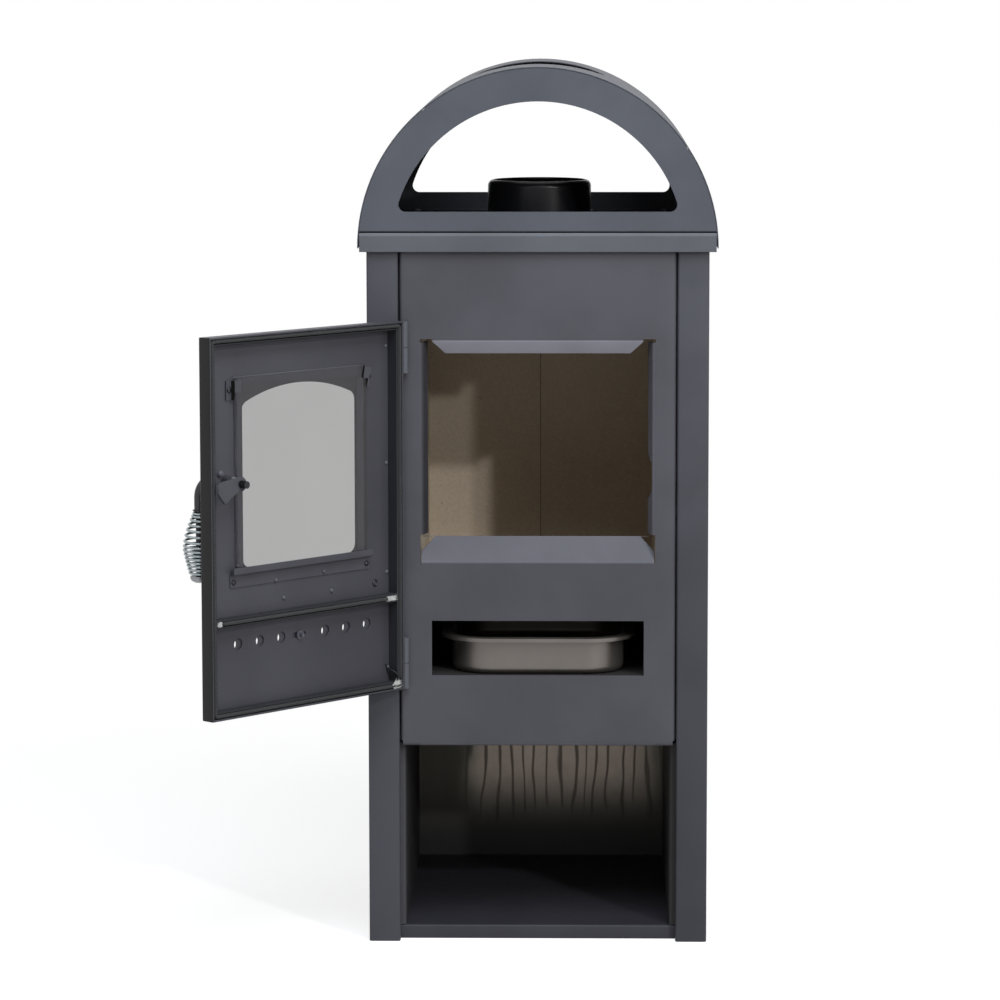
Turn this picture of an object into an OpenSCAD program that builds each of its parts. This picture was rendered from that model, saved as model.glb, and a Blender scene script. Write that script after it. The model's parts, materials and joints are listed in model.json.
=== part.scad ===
// Free-standing wood stove of folded sheet steel: a box cabinet with a firebox, an ash pan and a wood niche,
// under a half-round canopy that stands over the flue collar. The front faces -Y and the origin is on the
// floor, in the middle of the cabinet. The door is drawn open, as it stands when the stove is being filled.

/* [Cabinet] */
// Width over the side panels
body_w = 380; // [330:1:480]
// Depth over the posts and the rear flanges
body_d = 400; // [340:1:520]
// Thickness of the cabinet sheet
sheet_t = 1.5; // [1:0.1:2.5]
// Inner radius of the bends in the cabinet sheet
bend_r = 1.5; // [0.5:0.1:3]
// Width of each front post
post_w = 35; // [28:1:50]
// Depth that the post is folded back beside the front plate
post_return = 13.5; // [10:0.5:20]
// Width of the flange that carries the rear panel
rear_flange = 16; // [12:1:24]
// Height of the base tray
base_h = 16.5; // [12:0.5:30]
// Width of the ring on which the base tray stands
base_ring = 18; // [12:1:30]

/* [Front plate] */
// Thickness of the front plate
plate_t = 2.5; // [2:0.1:4]
// Dark joint between the front plate and each post
plate_gap = 1.6; // [1:0.1:3]
// Width of the flange behind the post
plate_flange = 14; // [10:1:18]
// Height of the wood niche above its floor
niche_h = 207.5; // [150:0.5:300]
// Height from the bottom of the front plate to the ash doorway
ash_band = 80; // [60:1:120]
// Width of the ash doorway
ash_open_w = 237; // [220:1:260]
// Height of the ash doorway
ash_open_h = 62; // [56:1:90]
// Height between the ash doorway and the firebox doorway
mid_band = 64; // [56:1:90]
// Width of the firebox doorway
fire_open_w = 262; // [230:1:290]
// Height of the firebox doorway
fire_open_h = 252; // [230:1:320]
// Height from the firebox doorway to the top plate
top_band = 118; // [90:1:160]
// Length of the flap above the doorway
top_flap = 21; // [14:1:30]
// Length of the flap below the doorway
sill_flap = 35; // [24:1:42]
// Length of the flaps beside the doorway
side_flap = 20; // [14:1:24]
// Radius of the notch in the flap that the latch cam turns in
notch_r = 26; // [24:1:30]

/* [Canopy] */
// Overhang of the top plate past the cabinet
overhang = 7.5; // [5:0.5:20]
// Height of the apron round the top plate
apron_h = 21; // [15:1:30]
// Depth of the centre of the arch below the top plate
arch_drop = 17; // [5:1:19]
// Width of the arched band round the opening
arch_band = 36.5; // [25:0.5:50]
// Height of the sill of the opening above the top plate
arch_sill = 23.5; // [18:0.5:40]
// Radius of the two lower corners of the opening
arch_corner = 8; // [4:0.5:14]
// Thickness of the roof sheet
roof_t = 1.2; // [0.8:0.1:2]
// Diameter of the hole in the roof for the flue pipe
roof_hole_d = 150; // [135:1:170]

/* [Flue] */
// Outer diameter of the flue collar
flue_d = 118.5; // [100:0.5:120]
// Wall of the flue collar
flue_wall = 2; // [1.5:0.1:4]
// Height of the collar above the top plate
flue_rise = 49; // [40:1:70]
// Radius of its rolled top edge
flue_roll = 7; // [4:0.5:9]

/* [Firebox] */
// Thickness of the firebox sheet
shell_t = 3; // [2:0.5:5]
// Air gap between the firebox and each side panel
side_air = 27.5; // [26:0.5:40]
// Air gap between the firebox and the rear panel
rear_air = 39; // [25:1:70]
// Air gap between the firebox and the top plate
top_air = 41.5; // [30:0.5:60]
// Thickness of the fireclay lining
brick_t = 26; // [20:1:32]
// Height of the lining bricks
brick_h = 295; // [270:1:310]
// Thickness of the floor bricks
floor_brick_t = 10; // [6:1:12]
// Distance of the joint between the back bricks from the middle
back_seam = 0; // [0:1:60]
// Thickness of the baffle plate
baffle_t = 20; // [15:1:28]
// Length of the smoke gap in front of the baffle
smoke_gap = 110; // [70:1:140]

/* [Grate and ash pan] */
// Width of the grate
grate_w = 208; // [160:1:214]
// Length of the grate
grate_l = 210; // [160:1:220]
// Thickness of the grate
grate_t = 12; // [8:1:12]
// Ledge that carries the grate on each side
grate_ledge = 8; // [5:1:12]
// Number of slots across the grate
grate_slots = 11; // [7:1:13]
// Width of each slot
slot_w = 9; // [6:0.5:10]
// Width over the rim of the ash pan
pan_w = 218; // [180:1:219]
// Length over the rim of the ash pan
pan_l = 300; // [240:1:310]
// Height of the ash pan
pan_h = 42; // [30:1:46]
// Width of its flared rim
pan_rim = 12; // [6:1:14]
// Thickness of its sheet
pan_t = 1; // [0.8:0.1:1.5]
// Radius of its corners in plan
pan_corner = 44; // [20:1:60]
// Radius of its bottom edge
pan_fillet = 8; // [4:1:12]

/* [Door] */
// Lap of the door above the firebox doorway
door_top_lap = 21; // [14:1:40]
// Lap of the door beside the doorway, at its free edge
door_side_lap = 19; // [13:1:24]
// Depth of the door's folded edges
door_d = 18; // [16:1:24]
// Thickness of the door sheet
door_t = 2; // [1.5:0.1:3]
// Lap of the door below the ash doorway
door_low_lap = 13; // [11:1:20]
// Angle at which the door stands open
door_open = 132; // [0:1:134]
// Width of the window
window_w = 172; // [140:1:180]
// Height of the window to the crown of its arch
window_h = 195; // [150:1:200]
// Radius of the arch of the window
window_arc = 214; // [120:1:400]
// Height of the window above the sill of the firebox doorway
window_up = 20; // [12:1:30]
// Radius of the corners of the window
window_corner = 11; // [5:1:16]
// Lap of the glass behind the door sheet
glass_lap = 12; // [8:1:14]
// Thickness of the glass
glass_t = 4; // [3:0.5:5]
// Thickness of the tape under the glass
tape_t = 2; // [1:0.5:3]
// Width of the rope in its channel
rope_w = 5; // [4:0.5:12]
// Height of the divider rope above the ash doorway
divider_up = 29; // [20:1:36]

/* [Hinges] */
// Distance of the hinge pins from the edge of the firebox doorway
hinge_out = 17.5; // [16:0.5:20]
// Outer diameter of a hinge barrel
barrel_d = 10; // [8:0.5:10]
// Diameter of the hinge pin
hinge_pin_d = 5; // [4:0.5:6]
// Radial running clearance on the hinge pin
hinge_play = 0.05; // [0.02:0.01:0.1]
// Length of each half of a hinge
barrel_h = 28; // [20:1:34]

/* [Latch] */
// Diameter of the lever
lever_d = 11; // [9:0.5:12]
// Diameter of the turned ends of the lever
rod_d = 8; // [6:0.5:8.5]
// Radial running clearance of the lever in its bush
rod_play = 0.06; // [0.02:0.01:0.1]
// Distance from the lever to the free edge of the door
rod_inset = 37; // [30:1:40]
// Height of the lever above the sill of the firebox doorway
rod_up = 115; // [100:1:140]
// Reach of the grip in front of the door
rod_reach = 40; // [34:0.5:60]
// Radius of the bend of the lever
rod_bend = 20; // [16:1:24]
// Drop from the lever to the top of the grip
grip_drop = 33; // [28:1:50]
// Reach of the cam from the lever
cam_reach = 33; // [26:1:33]
// Thickness of the cam
cam_t = 4; // [3:0.5:6]
// Length of the coiled grip
grip_l = 72; // [60:1:100]
// Number of coils on the grip
grip_coils = 15; // [8:1:18]
// Diameter of the grip wire
wire_d = 2.8; // [2:0.1:3]
// Outer radius of the grip at its widest
grip_r = 18.5; // [12:0.5:22]
// Outer radius of the grip at its lower end
grip_end_r = 11; // [8:0.5:14]

/* [Air slide] */
// Diameter of the air holes
air_d = 12; // [8:1:14]
// Spacing of the air holes
air_pitch = 32.4; // [28:0.1:34]
// Drop from the divider rope to the air holes
air_drop = 27; // [26:1:50]
// Middle of the air holes, from the middle of the door
air_off = -5; // [-8:0.5:8]
// Shift of the slide from wide open, as it stands
air_shift = 6.5; // [0:0.5:14]
// Travel of the slide from wide open to shut
air_travel = 14; // [13:1:16]

/* [Hidden] */

$fn = 48;
seat = 0.3;          // gap between pieces that sit against each other
joint = 1;           // length by which a cut runs past what it cuts
bend_steps = 4;      // flats that make up one bend
paint = "#4a4b52";
raw_steel = "#8d8a86";
clay = "#c9bfa6";

// Heights, from the floor up
niche_top = base_h + niche_h;
ash_sill = niche_top + ash_band;
ash_top = ash_sill + ash_open_h;
fire_sill = ash_top + mid_band;
fire_top = fire_sill + fire_open_h;
top_z = fire_top + top_band;
hearth_drop = 35;                    // depth of the hearth below the sill
hearth_z = fire_sill - hearth_drop;  // top of the hearth plate
roof_z = top_z - sheet_t - top_air;  // top of the firebox

// Plan
half_w = body_w / 2;
front_y = -body_d / 2;
back_y = body_d / 2;
post_in = half_w - post_w;                  // inner edge of a post
lip_y = front_y + post_return + seat;       // plane of the niche strips and the base lip
plate_back = front_y + plate_t;
plate_w = 2 * (post_in - plate_gap);
flange_back = lip_y + plate_t;              // back of the flange behind the post
shell_x = half_w - sheet_t - side_air;      // outer face of the firebox side
shell_back = back_y - 2 * sheet_t - rear_air;
brick_x = shell_x - shell_t - brick_t;      // inner face of a side brick
brick_back = shell_back - shell_t - brick_t;
flap_air = 6;                               // from the side flaps to the side bricks
brick_front = plate_back + side_flap + flap_air;
niche_lap = 7;                              // reach of the niche strips past the posts
niche_x = post_in - niche_lap;              // inner face of the niche side
niche_strip = 12;                            // width of the strips in front of the niche walls
rear_inner = back_y - 2 * sheet_t;          // inner face of the rear panel

// Door, drawn shut and then swung about the hinge
hinge_y = front_y - barrel_d / 2 - 1;
hinge_x = -fire_open_w / 2 - hinge_out;
door_x = hinge_x + barrel_d / 2 + 0.5;      // hinge edge of the door
door_w = fire_open_w / 2 + door_side_lap - door_x;
door_h = door_low_lap + fire_top + door_top_lap - ash_sill;
door_mid = door_x + door_w / 2;
door_z = ash_sill - door_low_lap;
divider_h = ash_top + divider_up;
lip = front_y - 1;                          // plane of the folded edges
skin_out = lip - door_d;
skin_in = skin_out + door_t;
channel_in = door_t + rope_w + 2 * seat;    // from the edge of the door to the inner strip
rod_x = door_x + door_w - rod_inset;
rod_h = fire_sill + rod_up;
grip_y = skin_out - rod_reach;
cam_y = plate_back + 0.6;                   // front of the cam, just behind the plate

// ---------------------------------------------------------------- sheet bent along a line
function unit(v) = v / norm(v);
function left_of(v) = [-v[1], v[0]];
function turned(v, a) = [v[0] * cos(a) - v[1] * sin(a), v[0] * sin(a) + v[1] * cos(a)];

// One side of one bend, at the offset s from the middle of the sheet
function bend_arc(p, i, mid_r, s) =
    let (
        d0 = unit(p[i] - p[i - 1]),
        d1 = unit(p[i + 1] - p[i]),
        way = sign(cross(d0, d1)),
        bend = acos(d0 * d1),
        c = p[i] - d0 * mid_r * tan(bend / 2) + left_of(d0) * mid_r * way
    )
    [for (k = [0:bend_steps]) c - turned(left_of(d0), way * bend * k / bend_steps) * (mid_r - s * way) * way];

function sheet_side(p, mid_r, s) =
    let (n = len(p) - 1)
    concat(
        [p[0] + left_of(unit(p[1] - p[0])) * s],
        [for (i = [1:1:n - 1]) each bend_arc(p, i, mid_r, s)],
        [p[n] + left_of(unit(p[n] - p[n - 1])) * s]
    );

function backwards(list) = [for (i = [len(list) - 1:-1:0]) list[i]];

// Outline of a sheet of thickness t whose middle runs along p
function sheet_outline(p, t, r) =
    concat(sheet_side(p, r + t / 2, t / 2), backwards(sheet_side(p, r + t / 2, -t / 2)));

// A bent sheet that stands on its edge: p is in plan
module sheet_up(p, z0, z1, t = sheet_t, r = bend_r) {
    translate([0, 0, z0]) linear_extrude(z1 - z0) polygon(sheet_outline(p, t, r));
}

// A bent sheet that runs across: p is in side view, as [y, z]
module sheet_across(p, x0, x1, t = sheet_t, r = bend_r) {
    translate([x0, 0, 0]) rotate([90, 0, 90]) linear_extrude(x1 - x0) polygon(sheet_outline(p, t, r));
}

// A bent sheet that runs front to back: p is in front view, as [x, z]
module sheet_deep(p, y0, y1, t = sheet_t, r = bend_r) {
    translate([0, y1, 0]) rotate([90, 0, 0]) linear_extrude(y1 - y0) polygon(sheet_outline(p, t, r));
}

// A flat shape drawn in front view, as [x, z], from y0 to y1
module front_view(y0, y1) {
    translate([0, y1, 0]) rotate([90, 0, 0]) linear_extrude(y1 - y0) children();
}

module block(low, high) {
    translate(low) cube(high - low);
}

module both_sides() {
    children();
    mirror([1, 0, 0]) children();
}

// Rods and holes along Y
module rod_y(x, z, y0, y1, d) {
    translate([x, y0, z]) rotate([-90, 0, 0]) cylinder(h = y1 - y0, d = d);
}

// Domed head on a plane that faces +Z, with its shank below
module dome_screw(head_d, head_h, shank_d, shank_l) {
    rotate_extrude()
        polygon([
            [0, -shank_l], [shank_d / 2, -shank_l], [shank_d / 2, 0], [head_d / 2, 0],
            [head_d / 2, head_h * 0.35], [head_d * 0.42, head_h * 0.7], [head_d * 0.25, head_h * 0.94],
            [0, head_h]
        ]);
}

// What lies outside a small round corner, between the directions a0 and a1
module corner_waste(c, r, a0, a1) {
    reach = 4 * r;
    middle = (a0 + a1) / 2;
    difference() {
        polygon([
            c, c + reach * [cos(a0), sin(a0)],
            c + reach * 1.5 * [cos(middle), sin(middle)], c + reach * [cos(a1), sin(a1)]
        ]);
        translate(c) circle(r);
    }
}

// ---------------------------------------------------------------- cabinet
module base_plate() {
    color(paint)
        sheet_across([
            [lip_y + base_ring, sheet_t / 2], [lip_y + sheet_t / 2, sheet_t / 2],
            [lip_y + sheet_t / 2, base_h - sheet_t / 2],
            [rear_inner - seat - sheet_t / 2, base_h - sheet_t / 2],
            [rear_inner - seat - sheet_t / 2, sheet_t / 2], [rear_inner - seat - base_ring, sheet_t / 2]
        ], -half_w + sheet_t + seat, half_w - sheet_t - seat);
}

rib_w = 30;        // width of the foot of the rib
rib_flange = 14;   // width of each flange welded to the tray

// A folded rib that carries the middle of the base tray
module base_rib() {
    high = base_h - 1.5 * sheet_t;
    low = sheet_t / 2;
    foot = rib_w / 2;
    color(paint)
        sheet_across([
            [-foot - rib_flange, high], [-foot, high], [-foot, low],
            [foot, low], [foot, high], [foot + rib_flange, high]
        ], -half_w + sheet_t + seat, half_w - sheet_t - seat);
}

rear_screw_z = [for (i = [0:3]) 60 + i * (top_z - 120) / 3];
screw_d = 4;

module rear_screw_places() {
    for (x = [-1, 1], z = rear_screw_z)
        translate([x * (half_w - rear_flange / 2 - 1), back_y, z]) rotate([-90, 0, 0]) children();
}

module side_panel() {
    difference() {
        sheet_up([
            [post_in + sheet_t / 2, front_y + post_return], [post_in + sheet_t / 2, front_y + sheet_t / 2],
            [half_w - sheet_t / 2, front_y + sheet_t / 2], [half_w - sheet_t / 2, back_y - sheet_t / 2],
            [half_w - rear_flange, back_y - sheet_t / 2]
        ], 0, top_z - sheet_t);
        rear_screw_places() translate([0, 0, -3 * sheet_t]) cylinder(h = 6 * sheet_t, d = screw_d + 0.2);
    }
}

module side_panel_left() {
    color(paint) mirror([1, 0, 0]) side_panel();
}

module side_panel_right() {
    color(paint) side_panel();
}

rear_w = body_w - 2 * (sheet_t + bend_r + seat);   // the panel lies inside the bends of the side panels

module rear_panel() {
    color(paint)
        difference() {
            block([-rear_w / 2, rear_inner, 0], [rear_w / 2, back_y - sheet_t, top_z - sheet_t]);
            rear_screw_places() translate([0, 0, -3 * sheet_t]) cylinder(h = 6 * sheet_t, d = screw_d + 0.2);
        }
}

module rear_screws() {
    color(raw_steel) rear_screw_places() dome_screw(8, 2.6, screw_d, 5);
}

// Length that a bend takes up on each side of its corner
function bend_take(a, t, r) = (r + t / 2) * tan(a / 2);

flap_tilt = [45, 40, 77];   // angle from the plate of the top, sill and side flaps
flap_r = 2;                 // inner radius of their bends
flap_cut = 14;              // corners cut off the flaps
flap_root = 8;              // length of plate that each flap is drawn with
side_flap_low = 33;         // from the sill of the doorway to the side flaps
side_flap_high = 4;         // from the side flaps to the top of the doorway

// A flap that hangs from a bend at z: way -1 goes down, +1 goes up
module level_flap(z, way, flap_len, a, w) {
    take = bend_take(a, plate_t, flap_r);
    mid = front_y + plate_t / 2;
    corner = [mid, z + way * take];
    sheet_across([
        [mid, z - way * flap_root], corner, corner + flap_len * [sin(a), way * cos(a)]
    ], -w / 2, w / 2, plate_t, flap_r);
}

module side_flap_right() {
    a = flap_tilt[2];
    take = bend_take(a, plate_t, flap_r);
    mid = front_y + plate_t / 2;
    corner = [fire_open_w / 2 - take, mid];
    sheet_up([
        [fire_open_w / 2 + flap_root, mid], corner, corner + side_flap * [-cos(a), sin(a)]
    ], fire_sill + side_flap_low, fire_top - side_flap_high, plate_t, flap_r);
}

// The four corners cut off the flaps, as seen from the front
module flap_trim() {
    edge = fire_open_w / 2;
    low = fire_sill + (sill_flap - 2) * cos(flap_tilt[1]);
    front_view(plate_back, plate_back + 60) {
        polygon([[-edge - 1, low - flap_cut], [-edge + flap_cut + 2, low + 3], [-edge - 1, low + 3]]);
        polygon([[edge + 1, low - flap_cut], [edge - flap_cut - 2, low + 3], [edge + 1, low + 3]]);
    }
}

module top_flap_outline() {
    edge = fire_open_w / 2 - flap_cut;
    drop = top_flap * cos(flap_tilt[0]) + 4;
    front_view(front_y - joint, plate_back + 60)
        polygon([[-edge, fire_top + flap_root], [edge, fire_top + flap_root], [edge, fire_top - 3],
            [edge - drop + 3, fire_top - drop], [-edge + drop - 3, fire_top - drop], [-edge, fire_top - 3]]);
}

notch_drop = 18;                // the cam turns down, so its notch lies below the lever
notch_z = rod_h - notch_drop;

module cam_notch() {
    x0 = fire_open_w / 2 - side_flap;
    y0 = plate_back + 0.1;   // leaves the face of the plate whole
    intersection() {
        translate([x0, plate_back + notch_r - 1, notch_z])
            rotate([0, 90, 0]) cylinder(h = 2 * side_flap, r = notch_r);
        block([x0, y0, notch_z - 2 * notch_r], [half_w, plate_back + 3 * notch_r, notch_z + 2 * notch_r]);
    }
    block([x0, y0, rod_h - cam_reach - 2], [half_w, cam_y + cam_t + 1, rod_h + cam_eye / 2 + 1]);
}

module front_plate() {
    mid = front_y + plate_t / 2;
    side = plate_w / 2 - plate_t / 2;
    behind = lip_y + plate_t / 2;
    fold_top = niche_top + 6;
    color(paint) {
        difference() {
            union() {
                sheet_up([
                    [-side - plate_flange, behind], [-side, behind], [-side, mid],
                    [side, mid], [side, behind], [side + plate_flange, behind]
                ], fold_top, top_z - sheet_t - seat, plate_t, flap_r);
                sheet_across([
                    [mid, fold_top + 1], [mid, niche_top + plate_t / 2],
                    [lip_y - seat, niche_top + plate_t / 2]
                ], -side + 1, side - 1, plate_t, flap_r);
            }
            block([-fire_open_w / 2, front_y - joint, fire_sill],
                [fire_open_w / 2, plate_back + joint, fire_top]);
            block([-ash_open_w / 2, front_y - joint, ash_sill],
                [ash_open_w / 2, plate_back + joint, ash_top]);
        }
        intersection() {
            level_flap(fire_top, -1, top_flap, flap_tilt[0], fire_open_w - 2 * flap_cut);
            top_flap_outline();
        }
        difference() {
            level_flap(fire_sill, 1, sill_flap, flap_tilt[1], fire_open_w - 2);
            flap_trim();
        }
        mirror([1, 0, 0]) side_flap_right();
        difference() {
            side_flap_right();
            cam_notch();
        }
    }
}

top_w = half_w + overhang;
top_d = back_y + overhang;

module top_plate() {
    color(paint)
        difference() {
            block([-top_w, -top_d, top_z - apron_h], [top_w, top_d, top_z]);
            block([-top_w + sheet_t, -top_d + sheet_t, top_z - apron_h - joint],
                [top_w - sheet_t, top_d - sheet_t, top_z - sheet_t]);
            translate([0, 0, top_z - 5]) cylinder(h = 10, d = flue_d + 6);
            canopy_screw_places() translate([0, 0, -5]) cylinder(h = 10, d = screw_d + 0.2);
        }
}

// ---------------------------------------------------------------- wood niche
module niche_side() {
    sheet_up([
        [niche_x + niche_strip, lip_y + sheet_t / 2], [niche_x + sheet_t / 2, lip_y + sheet_t / 2],
        [niche_x + sheet_t / 2, rear_inner - seat]
    ], base_h, niche_top);
}

module niche_side_left() {
    color(paint) mirror([1, 0, 0]) niche_side();
}

module niche_side_right() {
    color(paint) niche_side();
}

module niche_ceiling() {
    color(paint)
        block([-niche_x - niche_strip, lip_y, niche_top],
            [niche_x + niche_strip, rear_inner - seat, niche_top + sheet_t]);
}

// ---------------------------------------------------------------- firebox
// Half width of what reaches between the folds of the front plate
tongue_x = plate_w / 2 - plate_t - flap_r - seat;

module firebox_shell() {
    color(paint)
        difference() {
            union() {
                block([-shell_x, flange_back, ash_sill - shell_t], [shell_x, shell_back, roof_z]);
                block([-tongue_x, plate_back, ash_sill - shell_t], [tongue_x, flange_back + joint, ash_sill]);
                block([-tongue_x, plate_back, roof_z - shell_t], [tongue_x, flange_back + joint, roof_z]);
            }
            block([-shell_x + shell_t, flange_back - joint, ash_sill],
                [shell_x - shell_t, shell_back - shell_t, roof_z - shell_t]);
            translate([0, 0, roof_z - 10]) cylinder(h = 20, d = flue_d - 2 * flue_wall);
            collar_bolt_places() translate([0, 0, -8]) cylinder(h = 12, d = 6.2);
        }
}

module firebox_brackets() {
    leg = half_w - sheet_t - shell_x;
    color(paint)
        both_sides()
            for (z = [ash_sill + 30, roof_z - 60])
                sheet_up([
                    [shell_x + sheet_t / 2 + 0.02, shell_back - 40],
                    [shell_x + sheet_t / 2 + 0.02, shell_back - 10],
                    [shell_x + leg - sheet_t / 2 - 0.02, shell_back - 10],
                    [shell_x + leg - sheet_t / 2 - 0.02, shell_back + 15]
                ], z, z + 30);
}

grate_y = -20;   // middle of the grate, between the flaps and the back bricks

module hearth_plate() {
    color(paint)
        difference() {
            union() {
                block([-shell_x + shell_t, flange_back, hearth_z - shell_t],
                    [shell_x - shell_t, shell_back - shell_t, hearth_z]);
                block([-tongue_x, plate_back, hearth_z - shell_t], [tongue_x, flange_back + joint, hearth_z]);
            }
            block([-grate_w / 2 + grate_ledge, grate_y - grate_l / 2 + grate_ledge, hearth_z - 2 * shell_t],
                [grate_w / 2 - grate_ledge, grate_y + grate_l / 2 - grate_ledge, hearth_z + joint]);
        }
}

module lining_left() {
    color(clay) mirror([1, 0, 0]) side_brick();
}

module lining_right() {
    color(clay) side_brick();
}

module side_brick() {
    block([brick_x, brick_front, hearth_z], [brick_x + brick_t, brick_back, hearth_z + brick_h]);
}

brick_gap = 0.4;   // half of the joint between two bricks

module back_brick(x0, x1) {
    block([x0, brick_back, hearth_z], [x1, brick_back + brick_t, hearth_z + brick_h]);
}

module lining_back_left() {
    color(clay) back_brick(-brick_x - brick_t, back_seam - brick_gap);
}

module lining_back_right() {
    color(clay) back_brick(back_seam + brick_gap, brick_x + brick_t);
}

module floor_bricks() {
    edge_x = grate_w / 2 + 1;
    edge_y = [grate_y - grate_l / 2 - 1, grate_y + grate_l / 2 + 1];
    z = [hearth_z, hearth_z + floor_brick_t];
    color(clay) {
        both_sides() block([edge_x, brick_front, z[0]], [brick_x, brick_back, z[1]]);
        block([-edge_x + brick_gap, brick_front, z[0]], [edge_x - brick_gap, edge_y[0], z[1]]);
        block([-edge_x + brick_gap, edge_y[1], z[0]], [edge_x - brick_gap, brick_back, z[1]]);
    }
}

module baffle_plate() {
    z = hearth_z + brick_h;
    color(clay)
        block([-shell_x + shell_t + 1, brick_front + smoke_gap, z],
            [shell_x - shell_t - 1, shell_back - shell_t - 1, z + baffle_t]);
}

collar_flange = 16;   // width of the flange of the collar

module collar_bolt_places() {
    for (a = [45:90:315])
        rotate(a) translate([flue_d / 2 + collar_flange / 2, 0, roof_z + shell_t]) children();
}

module flue_collar() {
    r = flue_d / 2;
    top = top_z + flue_rise;
    color("#26262b")
        difference() {
            rotate_extrude($fn = 96) {
                polygon([
                    [r - flue_wall, roof_z], [r + collar_flange, roof_z],
                    [r + collar_flange, roof_z + shell_t],
                    [r, roof_z + shell_t], [r, top - flue_roll], [r - flue_wall, top - flue_roll]
                ]);
                translate([r - flue_roll, top - flue_roll])
                    intersection() {
                        difference() {
                            circle(flue_roll);
                            circle(flue_roll - flue_wall);
                        }
                        square(2 * flue_roll);
                    }
            }
            collar_bolt_places() translate([0, 0, -8]) cylinder(h = 12, d = 6.2);
        }
}

module collar_bolts() {
    color(raw_steel)
        collar_bolt_places() {
            cylinder(h = 4, d = 10, $fn = 6);
            translate([0, 0, -2 * shell_t - 2]) cylinder(h = 2 * shell_t + 3, d = 6);
        }
}

// ---------------------------------------------------------------- canopy
roof_r = norm([top_w, arch_drop]) + seat;   // inner radius of the roof, which clears the top plate
arch_r = roof_r - seat;               // outer radius of the arched plates
arch_z = top_z - arch_drop;           // height of the centre of the arch
arch_in = arch_r - arch_band;
arch_low = top_z + arch_sill;
arch_flange = 16;                     // flange of each arched plate on the top plate

module arch_opening() {
    c_z = arch_low + arch_corner;
    c = [sqrt(pow(arch_in - arch_corner, 2) - pow(c_z - arch_z, 2)), c_z];
    out = atan2(c[1] - arch_z, c[0]);
    difference() {
        intersection() {
            translate([0, arch_z]) circle(arch_in, $fn = 128);
            translate([-arch_r, arch_low]) square(2 * arch_r);
        }
        corner_waste(c, arch_corner, -90, out);
        mirror([1, 0]) corner_waste(c, arch_corner, -90, out);
    }
}

canopy_screw_in = 49.4;   // from the edge of the top plate to the last screw

module canopy_screw_places() {
    for (x = [-1, -0.4, 0.4, 1] * (top_w - canopy_screw_in), y = [-1, 1])
        translate([x, y * (top_d - arch_flange / 2 - 1), top_z + sheet_t]) children();
}

module arched_plate() {
    difference() {
        intersection() {
            front_view(-top_d, -top_d + arch_flange)
                difference() {
                    intersection() {
                        translate([0, arch_z]) circle(arch_r, $fn = 128);
                        translate([-arch_r, top_z]) square(2 * arch_r);
                    }
                    arch_opening();
                }
            sheet_across([
                [-top_d + arch_flange + joint, top_z + sheet_t / 2],
                [-top_d + sheet_t / 2, top_z + sheet_t / 2],
                [-top_d + sheet_t / 2, arch_z + arch_r + joint]
            ], -arch_r, arch_r);
        }
        canopy_screw_places() translate([0, 0, -5]) cylinder(h = 10, d = screw_d + 0.2);
    }
}

module canopy_front() {
    color(paint) arched_plate();
}

module canopy_rear() {
    color(paint) mirror([0, 1, 0]) arched_plate();
}

module canopy_roof() {
    color(paint)
        difference() {
            translate([0, top_d, arch_z])
                rotate([90, 0, 0])
                    linear_extrude(2 * top_d)
                        difference() {
                            circle(roof_r + roof_t, $fn = 128);
                            circle(roof_r, $fn = 128);
                            translate([-2 * arch_r, -4 * arch_r]) square(4 * arch_r);
                        }
            translate([0, 0, arch_z]) cylinder(h = 2 * arch_r, d = roof_hole_d, $fn = 96);
        }
}

module canopy_screws() {
    color(raw_steel) canopy_screw_places() dome_screw(8, 2.6, screw_d, 2 * sheet_t);
}

// ---------------------------------------------------------------- hinges
hinge_low = [door_z, door_z + door_h - 2 * barrel_h - 2];   // foot of each hinge
washer_t = 1;

module at_hinges() {
    for (z = hinge_low)
        translate([hinge_x, hinge_y, z]) children();
}

module hinge_barrels_cabinet() {
    color(paint)
        at_hinges()
            difference() {
                union() {
                    cylinder(h = barrel_h, d = barrel_d);
                    block([-1.5, 0, 0], [1.5, front_y - hinge_y, barrel_h]);
                }
                translate([0, 0, -joint]) cylinder(h = barrel_h + 2 * joint, d = hinge_pin_d);
            }
}

module hinge_pins() {
    color(raw_steel) at_hinges() translate([0, 0, 2]) cylinder(h = 2 * barrel_h - 8, d = hinge_pin_d);
}

module hinge_washers() {
    color("#b08d4a")
        at_hinges()
            translate([0, 0, barrel_h])
                difference() {
                    cylinder(h = washer_t, d = barrel_d - 0.6);
                    translate([0, 0, -joint]) cylinder(h = washer_t + 2 * joint, d = hinge_pin_d + 0.2);
                }
}

module on_door() {
    translate([hinge_x, hinge_y, 0]) rotate([0, 0, -door_open]) translate([-hinge_x, -hinge_y, 0]) children();
}

module hinge_barrels_door() {
    color(paint)
        on_door()
            at_hinges()
                translate([0, 0, barrel_h + washer_t])
                    difference() {
                        union() {
                            cylinder(h = barrel_h, d = barrel_d);
                            block([0, -3, 0], [door_x - hinge_x, 0, barrel_h]);
                        }
                        translate([0, 0, -joint])
                            cylinder(h = barrel_h + 2 * joint, d = hinge_pin_d + 2 * hinge_play);
                    }
}

// ---------------------------------------------------------------- door
// A pan with rounded outer edges, drawn in the frame of the shut door
module pan_block(inset, depth, r) {
    x = [door_x + inset, door_x + door_w - inset];
    z = [door_z + inset, door_z + door_h - inset];
    y = [lip - depth, lip];
    intersection() {
        translate([0, 0, z[0]])
            linear_extrude(z[1] - z[0]) polygon(soft_u(x, y, r));
        translate([x[0], 0, 0])
            rotate([90, 0, 90]) linear_extrude(x[1] - x[0]) polygon(soft_u_side(z, y, r));
    }
}

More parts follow.
